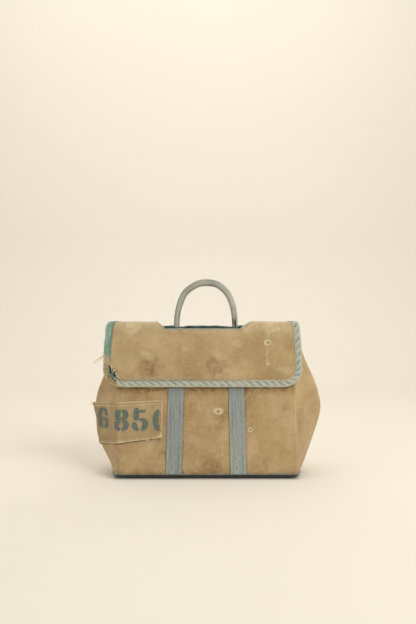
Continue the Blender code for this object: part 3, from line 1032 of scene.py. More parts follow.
@dataclass
class Body:
    """The canvas body: two panels, two folded gussets and the piped base."""

    form: BagForm
    canvas: float = 1.6 * MM
    piping_radius: float = 1.35 * MM
    handle_x: float = 52 * MM
    strap_x: tuple[float, float] = (61 * MM, 55.2 * MM)

    def panel_grime_and_shade(self, x: float, z: float, covered: bool) -> float:
        """Paint the soiling and painted shade: soiling at the base and in a few old water marks;
        painted shade under the flap, beside the straps and across the front's left half.

        Args:
            x: Distance from the middle of the bag.
            z: Height.
            covered: Whether the panel is the front one, which the flap covers.

        Returns:
            The soiling and painted shade together, from 0 to 1.
        """
        # Painted shadow: a band darkens the front just under the flap's lower edge.
        under_flap_shade = 0.85 * ease(152 * MM, 169 * MM, z) * ease(222 * MM, 171 * MM, z) * covered
        base = 0.25 * ease(30 * MM, 12 * MM, z) + 0.55 * ease(14.5 * MM, 12 * MM, z)
        mark = 0.55 * ease(0.0, 0.6, ripple(x, z, 52 * MM, 3.0))
        streak = 0.3 * ease(
            0.2, 0.6, ripple(x * 1.6, z * 0.5, 40 * MM, 8.0)
        ) * ease(90 * MM, 165 * MM, z)
        middle = mix(*self.strap_x, clamp(z / self.form.rear_rim))
        # Painted shade: thin dark lines along both edges of each strap.
        strap_edge_shade = 0.5 * ease(2.6 * MM, 0.6 * MM, abs(abs(abs(x) - middle) - 15 * MM))
        # Painted shade: the front darkens towards its left, away from the key light.
        left_side_shade = 0.26 * ease(70 * MM, -20 * MM, x) * covered
        return clamp(under_flap_shade + base + mark + streak + strap_edge_shade + left_side_shade)

    def panel_wear(self, x: float, z: float) -> float:
        """Paint the rubbed places: the panels' side edges and pale patches low down."""
        half = self.form.panel_half(z)
        edge = 0.15 * ease(half - 9 * MM, half - 1 * MM, abs(x))
        low = 0.3 * ease(0.25, 0.7, ripple(x, z, 30 * MM, 21.0)) * ease(150 * MM, 60 * MM, z)
        return clamp(edge + low)

    def add_panel(self, name: str, side: int, rim: float) -> None:
        """Make the front or the rear panel.

        Args:
            name: The piece's name, after the node that it replaces.
            side: -1 for the front, 1 for the rear.
            rim: The height of its upper edge.
        """
        surface = self.form.front if side < 0 else self.form.rear

        def spot(p: float, q: float) -> tuple[float, float]:
            """Give the distance across and the height at a share of both."""
            z = mix(self.form.hem_z, rim, q)
            return (-side * mix(-1, 1, p) * self.form.panel_half(z), z)

        sheet = ClothGrid(
            name=name + "_cloth",
            across=110,
            along=90,
            place=lambda p, q: surface(*spot(p, q)),
            measure=spot,
            thickness=self.canvas,
            paint={
                "grime": lambda p, q: self.panel_grime_and_shade(*spot(p, q), side < 0),
                "wear": lambda p, q: self.panel_wear(*spot(p, q)),
            },
        )
        dress(sheet.build(), Finish.WOVEN_DUCK_BODY, "bag", [name])

    def add_gusset(self, name: str, side: int) -> None:
        """Make one folded gusset, whose turn runs so that its face looks outwards."""

        def spot(p: float, q: float) -> tuple[float, float]:
            """Give the turn round the gusset and the height at a share of both."""
            turn = side * mix(-1, 1, p)
            return (turn, mix(self.form.hem(turn), self.form.rear_rim, q))

        def measure(p: float, q: float) -> tuple[float, float]:
            """Give the cloth's own width and height in metres."""
            turn, z = spot(p, q)
            return (0.5 * side + turn * 72 * MM, z)

        def wear(p: float, q: float) -> float:
            """Paint the rubbed ridge."""
            turn, _ = spot(p, q)
            return 0.5 * ease(0.16, 0.0, abs(turn))

        def grime(p: float, q: float) -> float:
            """Paint the soiling in the gusset's folds and at its base."""
            turn, z = spot(p, q)
            return clamp(
                0.35 * ease(0.1, 0.6, ripple(turn * 0.07, z, 40 * MM, side))
                + 0.3 * ease(190 * MM, 250 * MM, z)
            )

        def ink(p: float, q: float) -> float:
            """Paint one small blot of old ink on the right gusset."""
            turn, z = spot(p, q)
            away = math.hypot((turn + 0.86) * 62 * MM, z - 104 * MM)
            return 0.8 * ease(3.6 * MM, 1.2 * MM, away) if side > 0 else 0.0

        sheet = ClothGrid(
            name=name + "_cloth",
            across=64,
            along=90,
            place=lambda p, q: self.form.gusset(side, *spot(p, q)),
            measure=measure,
            thickness=self.canvas,
            paint={"grime": grime, "wear": wear, "ink": ink},
        )
        dress(sheet.build(), Finish.WOVEN_DUCK_BODY, "bag", [name])

    def rim(self, turn: float, share: float) -> Vector:
        """Give a place in the base's outline, at a share from its right side to its left."""
        hem = self.form.hem(turn)
        return self.form.gusset(1, turn, hem).lerp(self.form.gusset(-1, turn, hem), share)

    def add_base(self) -> None:
        """Make the base panel, turned up to its piped rim, and the piping."""
        wide = 34 * MM

        def place(p: float, q: float) -> Vector:
            """Lay the base on the floor and round it up to its rim."""
            spot = self.rim(mix(-1, 1, q), p)
            length = (self.rim(0.0, 0.0) - self.rim(0.0, 1.0)).length
            inside = clamp(min(p * length, (1 - p) * length, q * 0.14, (1 - q) * 0.14) / wide)
            round_down = math.sqrt(1 - (1 - inside) ** 2)
            spot.z -= 0.6 * MM + (spot.z - 2.6 * MM) * round_down
            return spot

        sheet = ClothGrid(
            name="base_cloth",
            across=96,
            along=40,
            place=place,
            measure=lambda p, q: (p * 0.36, q * 0.14),
            thickness=-self.canvas,
            # Painted shade: the base is darkened further all over.
            paint={"grime": lambda p, q: 0.5, "wear": lambda p, q: 0.0},
        )
        dress(sheet.build(), Finish.WAXED_DUCK_BASE, "bag", ["base_panel"])
        self.add_piping("front", lambda share: self.rim(-1.0, share))
        self.add_piping("rear", lambda share: self.rim(1.0, share))
        self.add_piping("left", lambda share: self.rim(mix(-0.985, 0.985, share), 1.0))
        self.add_piping("right", lambda share: self.rim(mix(-0.985, 0.985, share), 0.0))

    def add_piping(self, name: str, rim: Callable[[float], Vector]) -> None:
        """Make the round piping along one edge of the base.

        Args:
            name: The edge's name.
            rim: Gives the place on the rim at a share of the edge.
        """
        line = []
        for step in range(81):
            spot = rim(step / 80)
            away = Vector((spot.x, spot.y, 0)).normalized() if name in (
                "left", "right"
            ) else Vector((0, math.copysign(1, spot.y), 0))
            wave = ripple(step / 80, 0.0, 0.05, 2.0) * 0.3 * MM
            line.append(spot + away * (self.piping_radius * 0.75) + Vector((0, 0, wave - 0.4 * MM)))
        piping = add_threads(f"base_{name}_piping", [line], self.piping_radius * 0.93, sides=3)
        dress(piping, Finish.CORDED_COTTON_PIPING, "bag", ["base_binding_" + name])

    def add_seams(self) -> None:
        """Sew the panels' lower seams and the seams up their sides."""
        lift = self.form.outward * 0.12 * MM
        z = self.form.hem_z + 1.7 * MM
        half = self.form.base_half - 4 * MM
        rows = stitches(
            lambda s: self.form.front(s - half, z, 0.1 * MM), 2 * half, 3.2 * MM, 2.3 * MM, lift
        )
        rows += stitches(
            lambda s: self.form.rear(s - half, z, 0.1 * MM), 2 * half, 3.2 * MM, 2.3 * MM, lift
        )
        piece = add_threads("base_seam_stitches", rows, 0.38 * MM)
        dress(piece, Finish.WAXED_LINEN_THREAD, "bag")
        rows = []
        for side in (-1, 1):
            for surface in (self.form.front, self.form.rear):

                def path(s: float, side: int = side, surface: Callable = surface) -> Vector:
                    """Run up a panel's side seam."""
                    z = self.form.hem_z + 4 * MM + s
                    return surface(side * (self.form.panel_half(z) - 5.5 * MM), z, 0.06 * MM)

                rows += stitches(path, 262 * MM, 3.4 * MM, 2.2 * MM, lift)
        piece = add_threads("side_seam_stitches", rows, 0.3 * MM)
        dress(piece, Finish.WAXED_LINEN_THREAD, "bag")

    def add_hems(self) -> None:
        """Make the hems inside the mouth's two edges, deep green darkened as painted shade."""
        for name, surface, side, rim in (
            ("mouth_hem_front", self.form.front, -1, self.form.front_rim),
            ("mouth_hem_rear", self.form.rear, 1, self.form.rear_rim),
        ):
            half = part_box(name)[1].x
            front_leaf = 0.7 * MM if side < 0 else 2.8 * MM
            crest = rim + (0.0 if side < 0 else 1.6 * MM)

            def place(
                p: float,
                q: float,
                surface: Callable = surface,
                side: int = side,
                crest: float = crest,
                front_leaf: float = front_leaf,
                half: float = half,
            ) -> Vector:
                """Roll the hem over the panel's edge, with a wavy upper line."""
                x = -side * mix(-half, half, p)
                wave = ripple(x, 0.0, 26 * MM, 5.0 + side) * 2.0 * MM
                if side > 0:
                    pressed = ease(13 * MM, 8.5 * MM, abs(abs(x) - self.handle_x))
                    wave = mix(wave, -1.6 * MM, pressed)
                turn = mix(-0.35, 1.0, q)
                over = max(turn, 0.0) * 19 * MM
                if turn < 0:
                    return surface(x, crest + wave + turn * 7 * MM, front_leaf)
                return surface(
                    x, crest + 0.9 * MM + wave - over, mix(front_leaf, -2.8 * MM, clamp(turn * 8))
                )

            sheet = ClothGrid(
                name=name + "_tape",
                across=70,
                along=24,
                place=place,
                measure=lambda p, q: (p, q),
                thickness=-0.7 * MM,
            )
            dress(sheet.build(), Finish.GREEN_COTTON_HEM_TAPE, "bag", [name])

    def declare_sheets(self) -> None:
        """Work out each gusset's cloth width at a row of heights; the widths are not used."""
        form = self.form
        levels = [mix(form.hem_z, form.rear_rim, share / 20) for share in range(21)]
        for side, name in ((-1, "left"), (1, "right")):
            widths = [
                2 * math.hypot(through(form.ridges[side], z) - form.panel_half(z), form.plane_y(z))
                for z in levels
            ]

    def make(self) -> None:
        """Make the whole body."""
        self.add_panel("front_panel", -1, self.form.front_rim)
        self.add_panel("rear_panel", 1, self.form.rear_rim)
        self.add_gusset("left_gusset", -1)
        self.add_gusset("right_gusset", 1)
        self.add_base()
        self.add_seams()
        self.add_hems()
        self.declare_sheets()


# The straps.


@dataclass
class Straps:
    """The webbing straps sewn down the front and the rear panels."""

    form: BagForm
    width: float = 30 * MM
    thickness: float = 1.5 * MM
    selvedge: float = 0.35 * MM

    def centre(self, node: str, z: float) -> float:
        """Give the strap's middle at a height, from the frame's own strap."""
        low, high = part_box(node)
        side = 1 if low.x + high.x > 0 else -1
        outer = max(abs(low.x), abs(high.x)) - self.width / 2
        inner = min(abs(low.x), abs(high.x)) + self.width / 2
        return side * mix(outer, inner, z / self.form.rear_rim)

    def add_strap(self, node: str, surface: Callable, side: int, top: float) -> None:
        """Make one strap on a panel.

        Args:
            node: The frame's strap that it stands for.
            surface: The panel that it is sewn on.
            side: -1 on the front, 1 on the rear.
            top: The height of its upper end.
        """
        bottom = self.form.hem_z
        faded = 0.34 if node.endswith("right") else 0.1

        def place(p: float, q: float) -> Vector:
            """Lay the webbing on the panel, with its selvedges a little proud."""
            z = mix(bottom, top, q)
            middle = self.centre(node, z)
            sway = ripple(0.0, z, 60 * MM, middle) * 0.5 * MM
            edge = abs(2 * p - 1)
            bead = self.selvedge * ease(0.86, 0.96, edge) - 0.4 * MM * ease(0.96, 1.0, edge)
            x = middle + sway - side * (p - 0.5) * self.width
            return surface(x, z, self.thickness + bead)

        sheet = ClothGrid(
            name=node + "_webbing",
            across=28,
            along=110,
            place=place,
            measure=lambda p, q: (p, mix(bottom, top, q)),
            thickness=self.thickness,
            paint={
                # Painted shadow: the strap darkens upward to the flap's lower edge, as under the
                # flap.
                "grime": lambda p, q: 0.45 * ease(150 * MM, 172 * MM, mix(bottom, top, q)),
                "wear": lambda p, q: faded * mix(1.0, 0.4, ease(0.1, 0.45, q)),
            },
        )
        dress(sheet.build(), Finish.WOVEN_COTTON_WEBBING, "bag", [node])

    def add_stitches(self) -> None:
        """Sew the straps down along both edges, with a bar across the right one."""
        rows = []
        for node, surface, top in (
            ("front_strap_left", self.form.front, 262 * MM),
            ("front_strap_right", self.form.front, 262 * MM),
            ("rear_strap_left", self.form.rear, 238 * MM),
            ("rear_strap_right", self.form.rear, 238 * MM),
        ):
            for edge in (-1, 1):

                def path(
                    s: float, node: str = node, surface: Callable = surface, edge: int = edge
                ) -> Vector:
                    """Run up the strap a little inside its edge."""
                    z = self.form.hem_z + 2 * MM + s
                    return surface(
                        self.centre(node, z) + edge * (self.width / 2 - 4.6 * MM),
                        z,
                        self.thickness + 0.12 * MM,
                    )

                rows += stitches(path, top, 3.3 * MM, 2.4 * MM, self.form.outward * 0.1 * MM)
        for z in (69.5 * MM, 73 * MM):

            def across(s: float, z: float = z) -> Vector:
                """Run across the right front strap."""
                return self.form.front(
                    self.centre("front_strap_right", z) - 11 * MM + s, z, self.thickness + 0.1 * MM
                )

            rows += stitches(across, 22 * MM, 3.0 * MM, 2.2 * MM, self.form.outward * 0.1 * MM)
        piece = add_threads("strap_stitches", rows, 0.32 * MM)
        dress(piece, Finish.UNDYED_COTTON_TAPE, "bag")

    def make(self) -> None:
        """Make the four straps and their stitching."""
        for node in ("front_strap_left", "front_strap_right"):
            self.add_strap(node, self.form.front, -1, self.form.front_rim - 1 * MM)
        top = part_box("rear_strap_left")[1].z
        for node in ("rear_strap_left", "rear_strap_right"):
            self.add_strap(node, self.form.rear, 1, top)
        self.add_stitches()


# The flap.


@dataclass
class FlapForm:
    """The way the flap's cloth runs: up the rear, over the mouth and down the front."""

    form: BagForm
    fold: float = 7 * MM
    rear_out: float = 1.9 * MM
    front_out: float = 4.8 * MM
    corner: float = 38 * MM
    spread: float = 5 * MM
    floor_z: float = 281 * MM
    slot_top: tuple[float, float] = (-97 * MM, 87 * MM)
    slot_floor: tuple[float, float] = (-81 * MM, 67 * MM)
    tear_start: float = 118 * MM
    tear_end: float = 190 * MM
    tear_inset: float = 20 * MM

    def __post_init__(self) -> None:
        """Take the flap's edges from the frame and lay out its runs."""
        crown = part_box("flap_top_left")[1].z
        tail_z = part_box("flap_tail")[0].z
        low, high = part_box("flap_front_panel")
        self.middle = (low.x - self.spread + high.x) / 2
        self.low_half = (high.x - low.x + self.spread) / 2
        self.top_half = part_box("flap_top_right")[1].x - self.middle
        lean = self.form.lean
        turn = math.pi / 2 - lean
        cut = self.fold * math.tan(turn / 2)
        secant = 1 / math.cos(lean)
        rear_y = -self.form.plane_y(crown) + self.rear_out * secant
        front_y = self.form.plane_y(crown) - self.front_out * secant
        start_y = -self.form.plane_y(tail_z) + self.rear_out * secant
        self.start = Vector((0, start_y, tail_z))
        rear = (crown - tail_z) * secant - cut
        over = rear_y - front_y - 2 * cut
        front = (crown - low.z) * secant - cut
        arc = self.fold * turn
        self.runs = ((rear, False), (arc, True), (over, False), (arc, True), (front, False))
        self.rim = (self.form.rear_rim - 3 * MM - tail_z) * secant
        self.centre = rear + arc + over / 2
        self.brow = rear + arc + over
        self.end = self.brow + arc + front
        self.floor = self.end - (self.floor_z - low.z) * secant
        self.edge = self.trace_edge()

    def path(self, run: float) -> tuple[Vector, Vector]:
        """Give the place on the cloth's middle line and its outward direction.

        Args:
            run: The distance along the cloth from its rear hem.

        Returns:
            The place, with x at zero, and a unit vector.
        """
        spot, angle, left = self.start.copy(), self.form.lean, run
        for length, bends in self.runs:
            go = clamp(left, 0.0, length) if left < length or bends else length
            if bends:
                bent = angle + go / self.fold
                spot += self.fold * (self.aim(bent) - self.aim(angle))
                angle = bent
            else:
                spot += Vector((0, -math.sin(angle), math.cos(angle))) * go
            left -= length
            if left <= 0:
                break
        if left > 0:
            spot += Vector((0, -math.sin(angle), math.cos(angle))) * left
        return spot, self.aim(angle)

    @staticmethod
    def aim(angle: float) -> Vector:
        """Give the outward direction at an angle up from the rear."""
        return Vector((0, math.cos(angle), math.sin(angle)))

    def half(self, run: float) -> float:
        """Give half the flap's width at a distance along the cloth."""
        half = mix(self.top_half, self.low_half, ease(0.0, 75 * MM, run - self.brow))
        half -= 4.5 * MM * ease(15 * MM, -3 * MM, run - self.brow)
        rise = self.corner - (self.end - run)
        if rise > 0:
            rise = min(rise, self.corner)
            half -= self.corner - math.sqrt(self.corner**2 - rise**2)
        return half

    def place(self, x: float, run: float, out: float = 0.0) -> Vector:
        """Give the place on the flap's outer face, moved outwards by a distance."""
        spot, outward = self.path(run)
        on_front = ease(self.brow + 6 * MM, self.brow + 45 * MM, run)
        on_top = 1 - on_front
        rest = self.form.bulge(x, spot.z, 1.0) + 0.5 * MM
        drape = ripple(x, run, 62 * MM, 31.0) * 0.8 * MM + ripple(x, run, 19 * MM, 33.0) * 0.3 * MM
        flare = 1.2 * MM * ease(self.end - 26 * MM, self.end, run) * (
            0.5 + 0.5 * ripple(x, 0, 70 * MM, 3)
        )
        soft = ripple(x, run, 34 * MM, 35.0) * 0.7 * MM
        lift = on_front * (rest + drape + flare) + on_top * soft * ease(0.0, 12 * MM, run)
        return spot + Vector((x, 0, 0)) + outward * (out + lift)

    def slot(self, run: float) -> tuple[float, float]:
        """Give the slot's left and right edges at a distance along the cloth."""
        share = 0.75 * ease(self.brow, self.floor, run) + 0.25 * clamp(
            (run - self.brow) / (self.floor - self.brow)
        )
        return tuple(mix(top, low, share) for top, low in zip(self.slot_top, self.slot_floor))

    def trace_edge(self) -> list[tuple[float, Vector, Vector]]:
        """Walk round the flap's open edge from its left top, down, across and up.

        Returns:
            The distance walked, the spot as x and run, and the inward direction, each step.
        """
        side = self.end - self.corner
        steps = 66
        downs = [mix(self.rim, side, i / steps) for i in range(steps)]
        spots = [Vector((self.middle - self.half(run), run)) for run in downs]
        turns = [math.pi / 2 * i / 32 for i in range(33)]
        pivot = Vector((self.middle - self.low_half + self.corner, side))
        spots += [pivot + self.corner * Vector((-math.cos(a), math.sin(a))) for a in turns]
        last = self.middle + self.low_half - self.corner
        spots += [Vector((mix(pivot.x, last, i / 150), self.end)) for i in range(1, 150)]
        pivot = Vector((last, side))
        spots += [pivot + self.corner * Vector((math.sin(a), math.cos(a))) for a in turns]
        spots += [Vector((self.middle + self.half(run), run)) for run in reversed(downs)]
        edge, walked = [], 0.0
        for index, spot in enumerate(spots):
            before, after = spots[max(index - 1, 0)], spots[min(index + 1, len(spots) - 1)]
            way = (after - before).normalized()
            walked += (spot - spots[index - 1]).length if index else 0.0
            edge.append((walked, spot, Vector((way.y, -way.x))))
        return edge

    def along_edge(self, walked: float, inset: float, out: float) -> Vector:
        """Give the place at a distance round the edge, inside it and out from the cloth."""
        spot, inward = self.edge_spot(walked)
        spot = spot + inward * inset
        return self.place(spot.x, spot.y, out)

    def edge_spot(self, walked: float) -> tuple[Vector, Vector]:
        """Give the spot and the inward direction at a distance round the edge."""
        low, high = 0, len(self.edge) - 1
        while high - low > 1:
            half = (low + high) // 2
            if self.edge[half][0] <= walked:
                low = half
            else:
                high = half
        share = (walked - self.edge[low][0]) / (self.edge[high][0] - self.edge[low][0])
        return tuple(self.edge[low][i].lerp(self.edge[high][i], share) for i in (1, 2))

    def tear(self, x: float, run: float) -> tuple[float, float]:
        """Pull a spot of the cloth in from the edge where the corner is torn."""
        pivot = Vector((self.middle - self.low_half + self.corner, self.end - self.corner))
        way = Vector((x, run)) - pivot
        if way.x >= 0:
            return x, run
        if way.y <= 0:
            inward, depth, along = Vector((1, 0)), self.corner + way.x, way.y
        else:
            inward = -way.normalized()
            depth, along = self.corner - way.length, self.corner * math.atan2(way.y, -way.x)
        quarter = self.corner * math.pi / 2
        share = ease(-11 * MM, 3 * MM, along) * mix(
            0.72, 1.0, ease(quarter - 18 * MM, quarter - 36 * MM, along)
        )
        share *= ease(quarter, quarter - 9 * MM, along)
        ragged = 1 + 0.12 * ripple(along, 0, 5 * MM, 4.0)
        pull = self.tear_inset * share * ragged * ease(28 * MM, 0, depth)
        return x + inward.x * pull, run + inward.y * pull


@dataclass
class Flap:
    """The flap: its cloth, its binding, the slot for the handle and its torn corner."""

    form: FlapForm
    canvas: float = 1.6 * MM
    strip: float = 0.28
    floor_row: float = 0.12
    corner_row: float = 0.7
    rear_reach: tuple = ((0, 25 * MM, 270 * MM), (0, 12 * MM, 295 * MM))
    front_reach: tuple = ((0, -15 * MM, 295 * MM), (0, -27 * MM, 275 * MM))
    stains: tuple = (
        (-108, 40, 34, 0.75),
        (17, 44, 34, 0.6),
        (-78, 84, 20, 0.3),
        (62, 60, 26, 0.3),
        (132, 22, 22, 0.3),
    )
    streak_x: float = 118.7 * MM

    def across(self, p: float, run: float) -> float:
        """Give x at a share from the right edge to the left, with columns on the slot's edges."""
        half = self.form.half(run)
        left, right = self.form.slot(run)
        if p < self.strip:
            return mix(self.form.middle + half, right, p / self.strip)
        if p > 1 - self.strip:
            return mix(left, self.form.middle - half, (p - 1 + self.strip) / self.strip)
        return mix(right, left, (p - self.strip) / (1 - 2 * self.strip))

    def in_slot(self, p: float) -> bool:
        """Say whether a column lies in the slot."""
        return self.strip < p < 1 - self.strip

    def rear_run(self, q: float) -> float:
        """Give the distance along the cloth at a share of the rear sheet."""
        if q < 0.5:
            return mix(0.0, self.form.rim, q * 2)
        return mix(self.form.rim, self.form.centre, q * 2 - 1)

    def front_run(self, q: float) -> float:
        """Give the distance along the cloth at a share of the front sheet."""
        start = self.form.end - self.form.corner
        if q < self.floor_row:
            return mix(self.form.centre, self.form.floor, q / self.floor_row)
        if q < self.corner_row:
            share = (q - self.floor_row) / (self.corner_row - self.floor_row)
            return mix(self.form.floor, start, share)
        turn = (q - self.corner_row) / (1 - self.corner_row) * math.pi / 2
        return start + self.form.corner * math.sin(turn)

    def grime(self, x: float, run: float) -> float:
        """Paint the flap's brown water stains and handled places."""
        height = self.form.end - run
        cloud = 0.35 * ease(0.0, 0.6, ripple(x, run * 1.2, 44 * MM, 71.0))
        for spot_x, spot_z, wide, strength in self.stains:
            away = math.hypot(x - spot_x * MM, (height - spot_z * MM) * 1.15) / (wide * MM)
            away += 0.35 * ripple(x, run, 16 * MM, spot_x)
            cloud += strength * ease(1.0, 0.2, away)
        low = 0.3 * ease(40 * MM, 16 * MM, height) * ease(-0.2, 0.5, ripple(x, run, 50 * MM, 5.0))
        lip = 0.35 * ease(0.1, 0.5, ripple(x, run, 20 * MM, 77.0)) * ease(
            self.form.floor + 22 * MM, self.form.floor, run
        )
        return clamp(cloud + low + lip)

    def wear(self, x: float, run: float) -> float:
        """Paint the flap's rubbed and bleached places: the folds and soft spots; the band along the
        front fold is partly painted highlight.
        """
        # Paler along the front fold: partly bleaching, partly a painted highlight where the fold
        # meets the light.
        brow = 0.55 * ease(27 * MM, 3 * MM, abs(run - self.form.brow - 4 * MM))
        rear = 0.5 * ease(16 * MM, 2 * MM, abs(run - self.form.rim - 6 * MM))
        spots = 0.45 * ease(0.25, 0.6, ripple(x, run, 27 * MM, 90.0))
        height = self.form.end - run
        away = abs(x - self.streak_x - ripple(0, run, 12 * MM, 5.0) * 1.5 * MM)
        streak = 0.8 * ease(2.6 * MM, 0.6 * MM, away) * ease(34 * MM, 48 * MM, height) * ease(
            116 * MM, 95 * MM, height
        )
        knot = ease(4 * MM, 2 * MM, math.hypot(x - self.streak_x, height - 44 * MM))
        dab = 0.9 * ease(10 * MM, 7 * MM, abs(x - self.streak_x)) * ease(
            7 * MM, 3 * MM, abs(run - self.form.brow - 3 * MM)
        )
        depth = x - self.form.middle + self.form.half(run)
        torn = ease(5.5 * MM, 1.5 * MM, depth) * ease(78 * MM, 66 * MM, height)
        return clamp(brow + rear + spots + streak + knot + dab + torn)

    def add_cloth(
        self,
        name: str,
        run_at: Callable,
        rows: int,
        cut: Callable,
        reach: tuple,
        replaced: list,
    ) -> None:
        """Make one of the flap's two sheets.

        Args:
            name: The piece's name.
            run_at: Gives the distance along the cloth at a share of the sheet.
            rows: How many rows of faces the sheet has.
            cut: Says which shares of the length are open in the slot.
            reach: Where the sheet starts to bend and where it has bent, as two places; not used.
            replaced: The frame's nodes that it stands for.
        """

        def spot(p: float, q: float) -> tuple[float, float]:
            """Give x and the distance along the cloth."""
            run = run_at(q)
            return self.across(p, run), run

        sheet = ClothGrid(
            name=name,
            across=100,
            along=rows,
            place=lambda p, q: self.form.place(*self.form.tear(*spot(p, q))),
            measure=spot,
            thickness=self.canvas,
            paint={
                "grime": lambda p, q: self.grime(*spot(p, q)),
                "wear": lambda p, q: self.wear(*spot(p, q)),
            },
            keep=lambda p, q: not (self.in_slot(p) and cut(q)),
        )
        piece = sheet.build()
        paint_piece(piece, Finish.WOVEN_DUCK_FLAP, replaced)
        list(reach)
        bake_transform(piece)

    def bend(self, piece: bpy.types.Object, rear: bool) -> None:
        """Bake a piece's place into its mesh, whether it lies at the rear fold or the front one."""
        if rear:
            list(self.rear_reach)
            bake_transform(piece)
        else:
            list(self.front_reach)
            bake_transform(piece)

    def section(self, p: float, walked: float) -> tuple[float, float]:
        """Give the binding's inset and height across its folded width."""
        rounds = (
            (13.4, 0.2), (12.9, 0.95), (10.5, 0.75), (6.0, 1.15), (1.6, 1.0), (0.2, 0.6),
            (-0.4, -0.3), (-0.4, -1.3), (0.3, -2.1), (1.6, -2.5), (7.0, -2.5), (12.6, -2.3),
        )
        place = p * (len(rounds) - 1)
        low = min(int(place), len(rounds) - 2)
        share = place - low
        inset = mix(rounds[low][0], rounds[low + 1][0], share)
        out = mix(rounds[low][1], rounds[low + 1][1], share)
        pucker = ripple(walked, 0, 4.6 * MM, 2.0) * 0.55 + ripple(walked, 0, 13 * MM, 6.0) * 0.4
        inset += pucker * (0.8 if inset > 9 else 1.0)
        out += pucker * 0.3 * (1 if out > 0 else 0)
        return inset * MM, out * MM

    def add_binding(
        self,
        name: str,
        start: float,
        end: float,
        rear: bool,
        replaced: list,
        skews: tuple[float, float] = (0.0, 0.0),
    ) -> None:
        """Fold a length of the binding tape over the edge.

        Args:
            name: The piece's name.
            start: Where it starts, as the distance round the edge.
            end: Where it ends.
            rear: Whether it lies at the rear fold or at the front one.
            replaced: The frame's nodes that it stands for.
            skews: How much further the inner edge runs at each end, where the end is torn.
        """

        def place(p: float, q: float) -> Vector:
            """Wrap the tape round the edge."""
            walked = mix(
                start + skews[0] * ease(0.35, 0.0, p), end + skews[1] * ease(0.35, 0.0, p), q
            )
            torn = 1.2 * MM * ripple(p, 0, 0.05, start)
            walked += torn * (q * bool(skews[1]) + (1 - q) * bool(skews[0]))
            inset, out = self.section(p, walked)
            return self.form.along_edge(walked, inset, out)

        def fresh(p: float, q: float) -> float:
            """Paint the unworn colour: the left side, fading along the bottom."""
            walked = mix(start, end, q)
            left = ease(152 * MM, 120 * MM, walked)
            return clamp(left * (0.75 + 0.4 * ripple(walked, p, 20 * MM, 3.0)) + 0.12)

        def line(p: float, q: float) -> float:
            """Paint the dark line by the tape's inner edge, which fades out to the right."""
            walked = mix(start, end, q)
            fade = ease(480 * MM, 330 * MM, walked) * 0.7 + 0.3 * ease(
                -0.1, 0.2, ripple(walked, 0, 9 * MM, 1.0)
            )
            return fade * ease(0.17, 0.1, p)

        def striped(p: float, q: float) -> float:
            """Paint where the stripes show: the middle of the tape, clear of its pale edge."""
            return ease(0.14, 0.2, p) * ease(0.4, 0.3, p) + ease(0.55, 0.6, p)

        rows = max(int((end - start) / (1.6 * MM)), 4)
        sheet = ClothGrid(
            name=name,
            across=33,
            along=rows,
            place=place,
            measure=lambda p, q: (mix(start, end, q), p * 30 * MM),
            thickness=0.6 * MM,
            paint={"fresh": fresh, "line": line, "striped": striped},
        )
        piece = sheet.build()
        paint_piece(piece, Finish.STRIPED_COTTON_TAPE, replaced)
        self.bend(piece, rear)

    def add_bindings(self) -> None:
        """Bind the flap's edge, with the torn corner left open."""
        total = self.form.edge[-1][0]
        split = self.form.centre - self.form.rim
        self.add_binding("binding_rear_left", 0.0, split, True, ["flap_top_binding_left"])
        self.add_binding("binding_left", split, self.form.tear_start, False, [], (0.0, 16 * MM))
        self.add_binding(
            "binding_lower_right",
            self.form.tear_end,
            total - split,
            False,
            ["flap_front_binding"],
            (-9 * MM, 0.0),
        )
        self.add_binding(
            "binding_rear_right", total - split, total, True, ["flap_top_binding_right"]
        )

    def add_binding_stitches(self) -> None:
        """Sew the binding down along its inner edge."""
        total = self.form.edge[-1][0]
        split = self.form.centre - self.form.rim
        rows = []
        for start, end in ((split, self.form.tear_start), (self.form.tear_end, total - split)):

            def path(s: float, start: float = start) -> Vector:
                """Run round the edge, a little inside the tape's edge."""
                return self.form.along_edge(
                    start + s, 11.0 * MM + ripple(s, 0, 15 * MM, 1) * 0.4 * MM, 0.95 * MM
                )

            rows += stitches(
                path, end - start, 3.3 * MM, 2.2 * MM, self.form.form.outward * 0.15 * MM
            )
        piece = add_threads("binding_stitches", rows, 0.33 * MM)
        paint_piece(piece, Finish.BLUE_COTTON_THREAD)
        self.bend(piece, False)
        rows = []
        for start, end in ((split, self.form.tear_start), (self.form.tear_end, total - split)):

            def under(s: float, start: float = start) -> Vector:
                """Run round the edge, just off the tape."""
                return self.form.along_edge(start + s, 14.6 * MM, 0.05 * MM)

            rows += stitches(
                under, end - start, 4.2 * MM, 2.0 * MM, self.form.form.outward * 0.1 * MM
            )
        piece = add_threads("binding_turn_stitches", rows, 0.3 * MM)
        paint_piece(piece, Finish.WAXED_LINEN_THREAD)
        self.bend(piece, False)

    def add_slot_tape(self) -> None:
        """Bind the slot's front lip with thin tape."""
        form = self.form
        lip = []
        runs = [mix(form.brow + 2 * MM, form.floor, i / 14) for i in range(15)]
        lip += [Vector((form.slot(run)[0], run)) for run in runs]
        left, right = form.slot_floor
        lip += [Vector((mix(left, right, i / 70), form.floor)) for i in range(1, 70)]
        lip += [Vector((form.slot(run)[1], run)) for run in reversed(runs)]
        rounds = (
            (0.9, 0.05),
            (0.6, 0.35),
            (0.1, 0.4),
            (-0.4, 0.1),
            (-0.5, -1.2),
            (0.0, -2.1),
            (2.0, -2.4),
            (6.0, -2.3),
        )

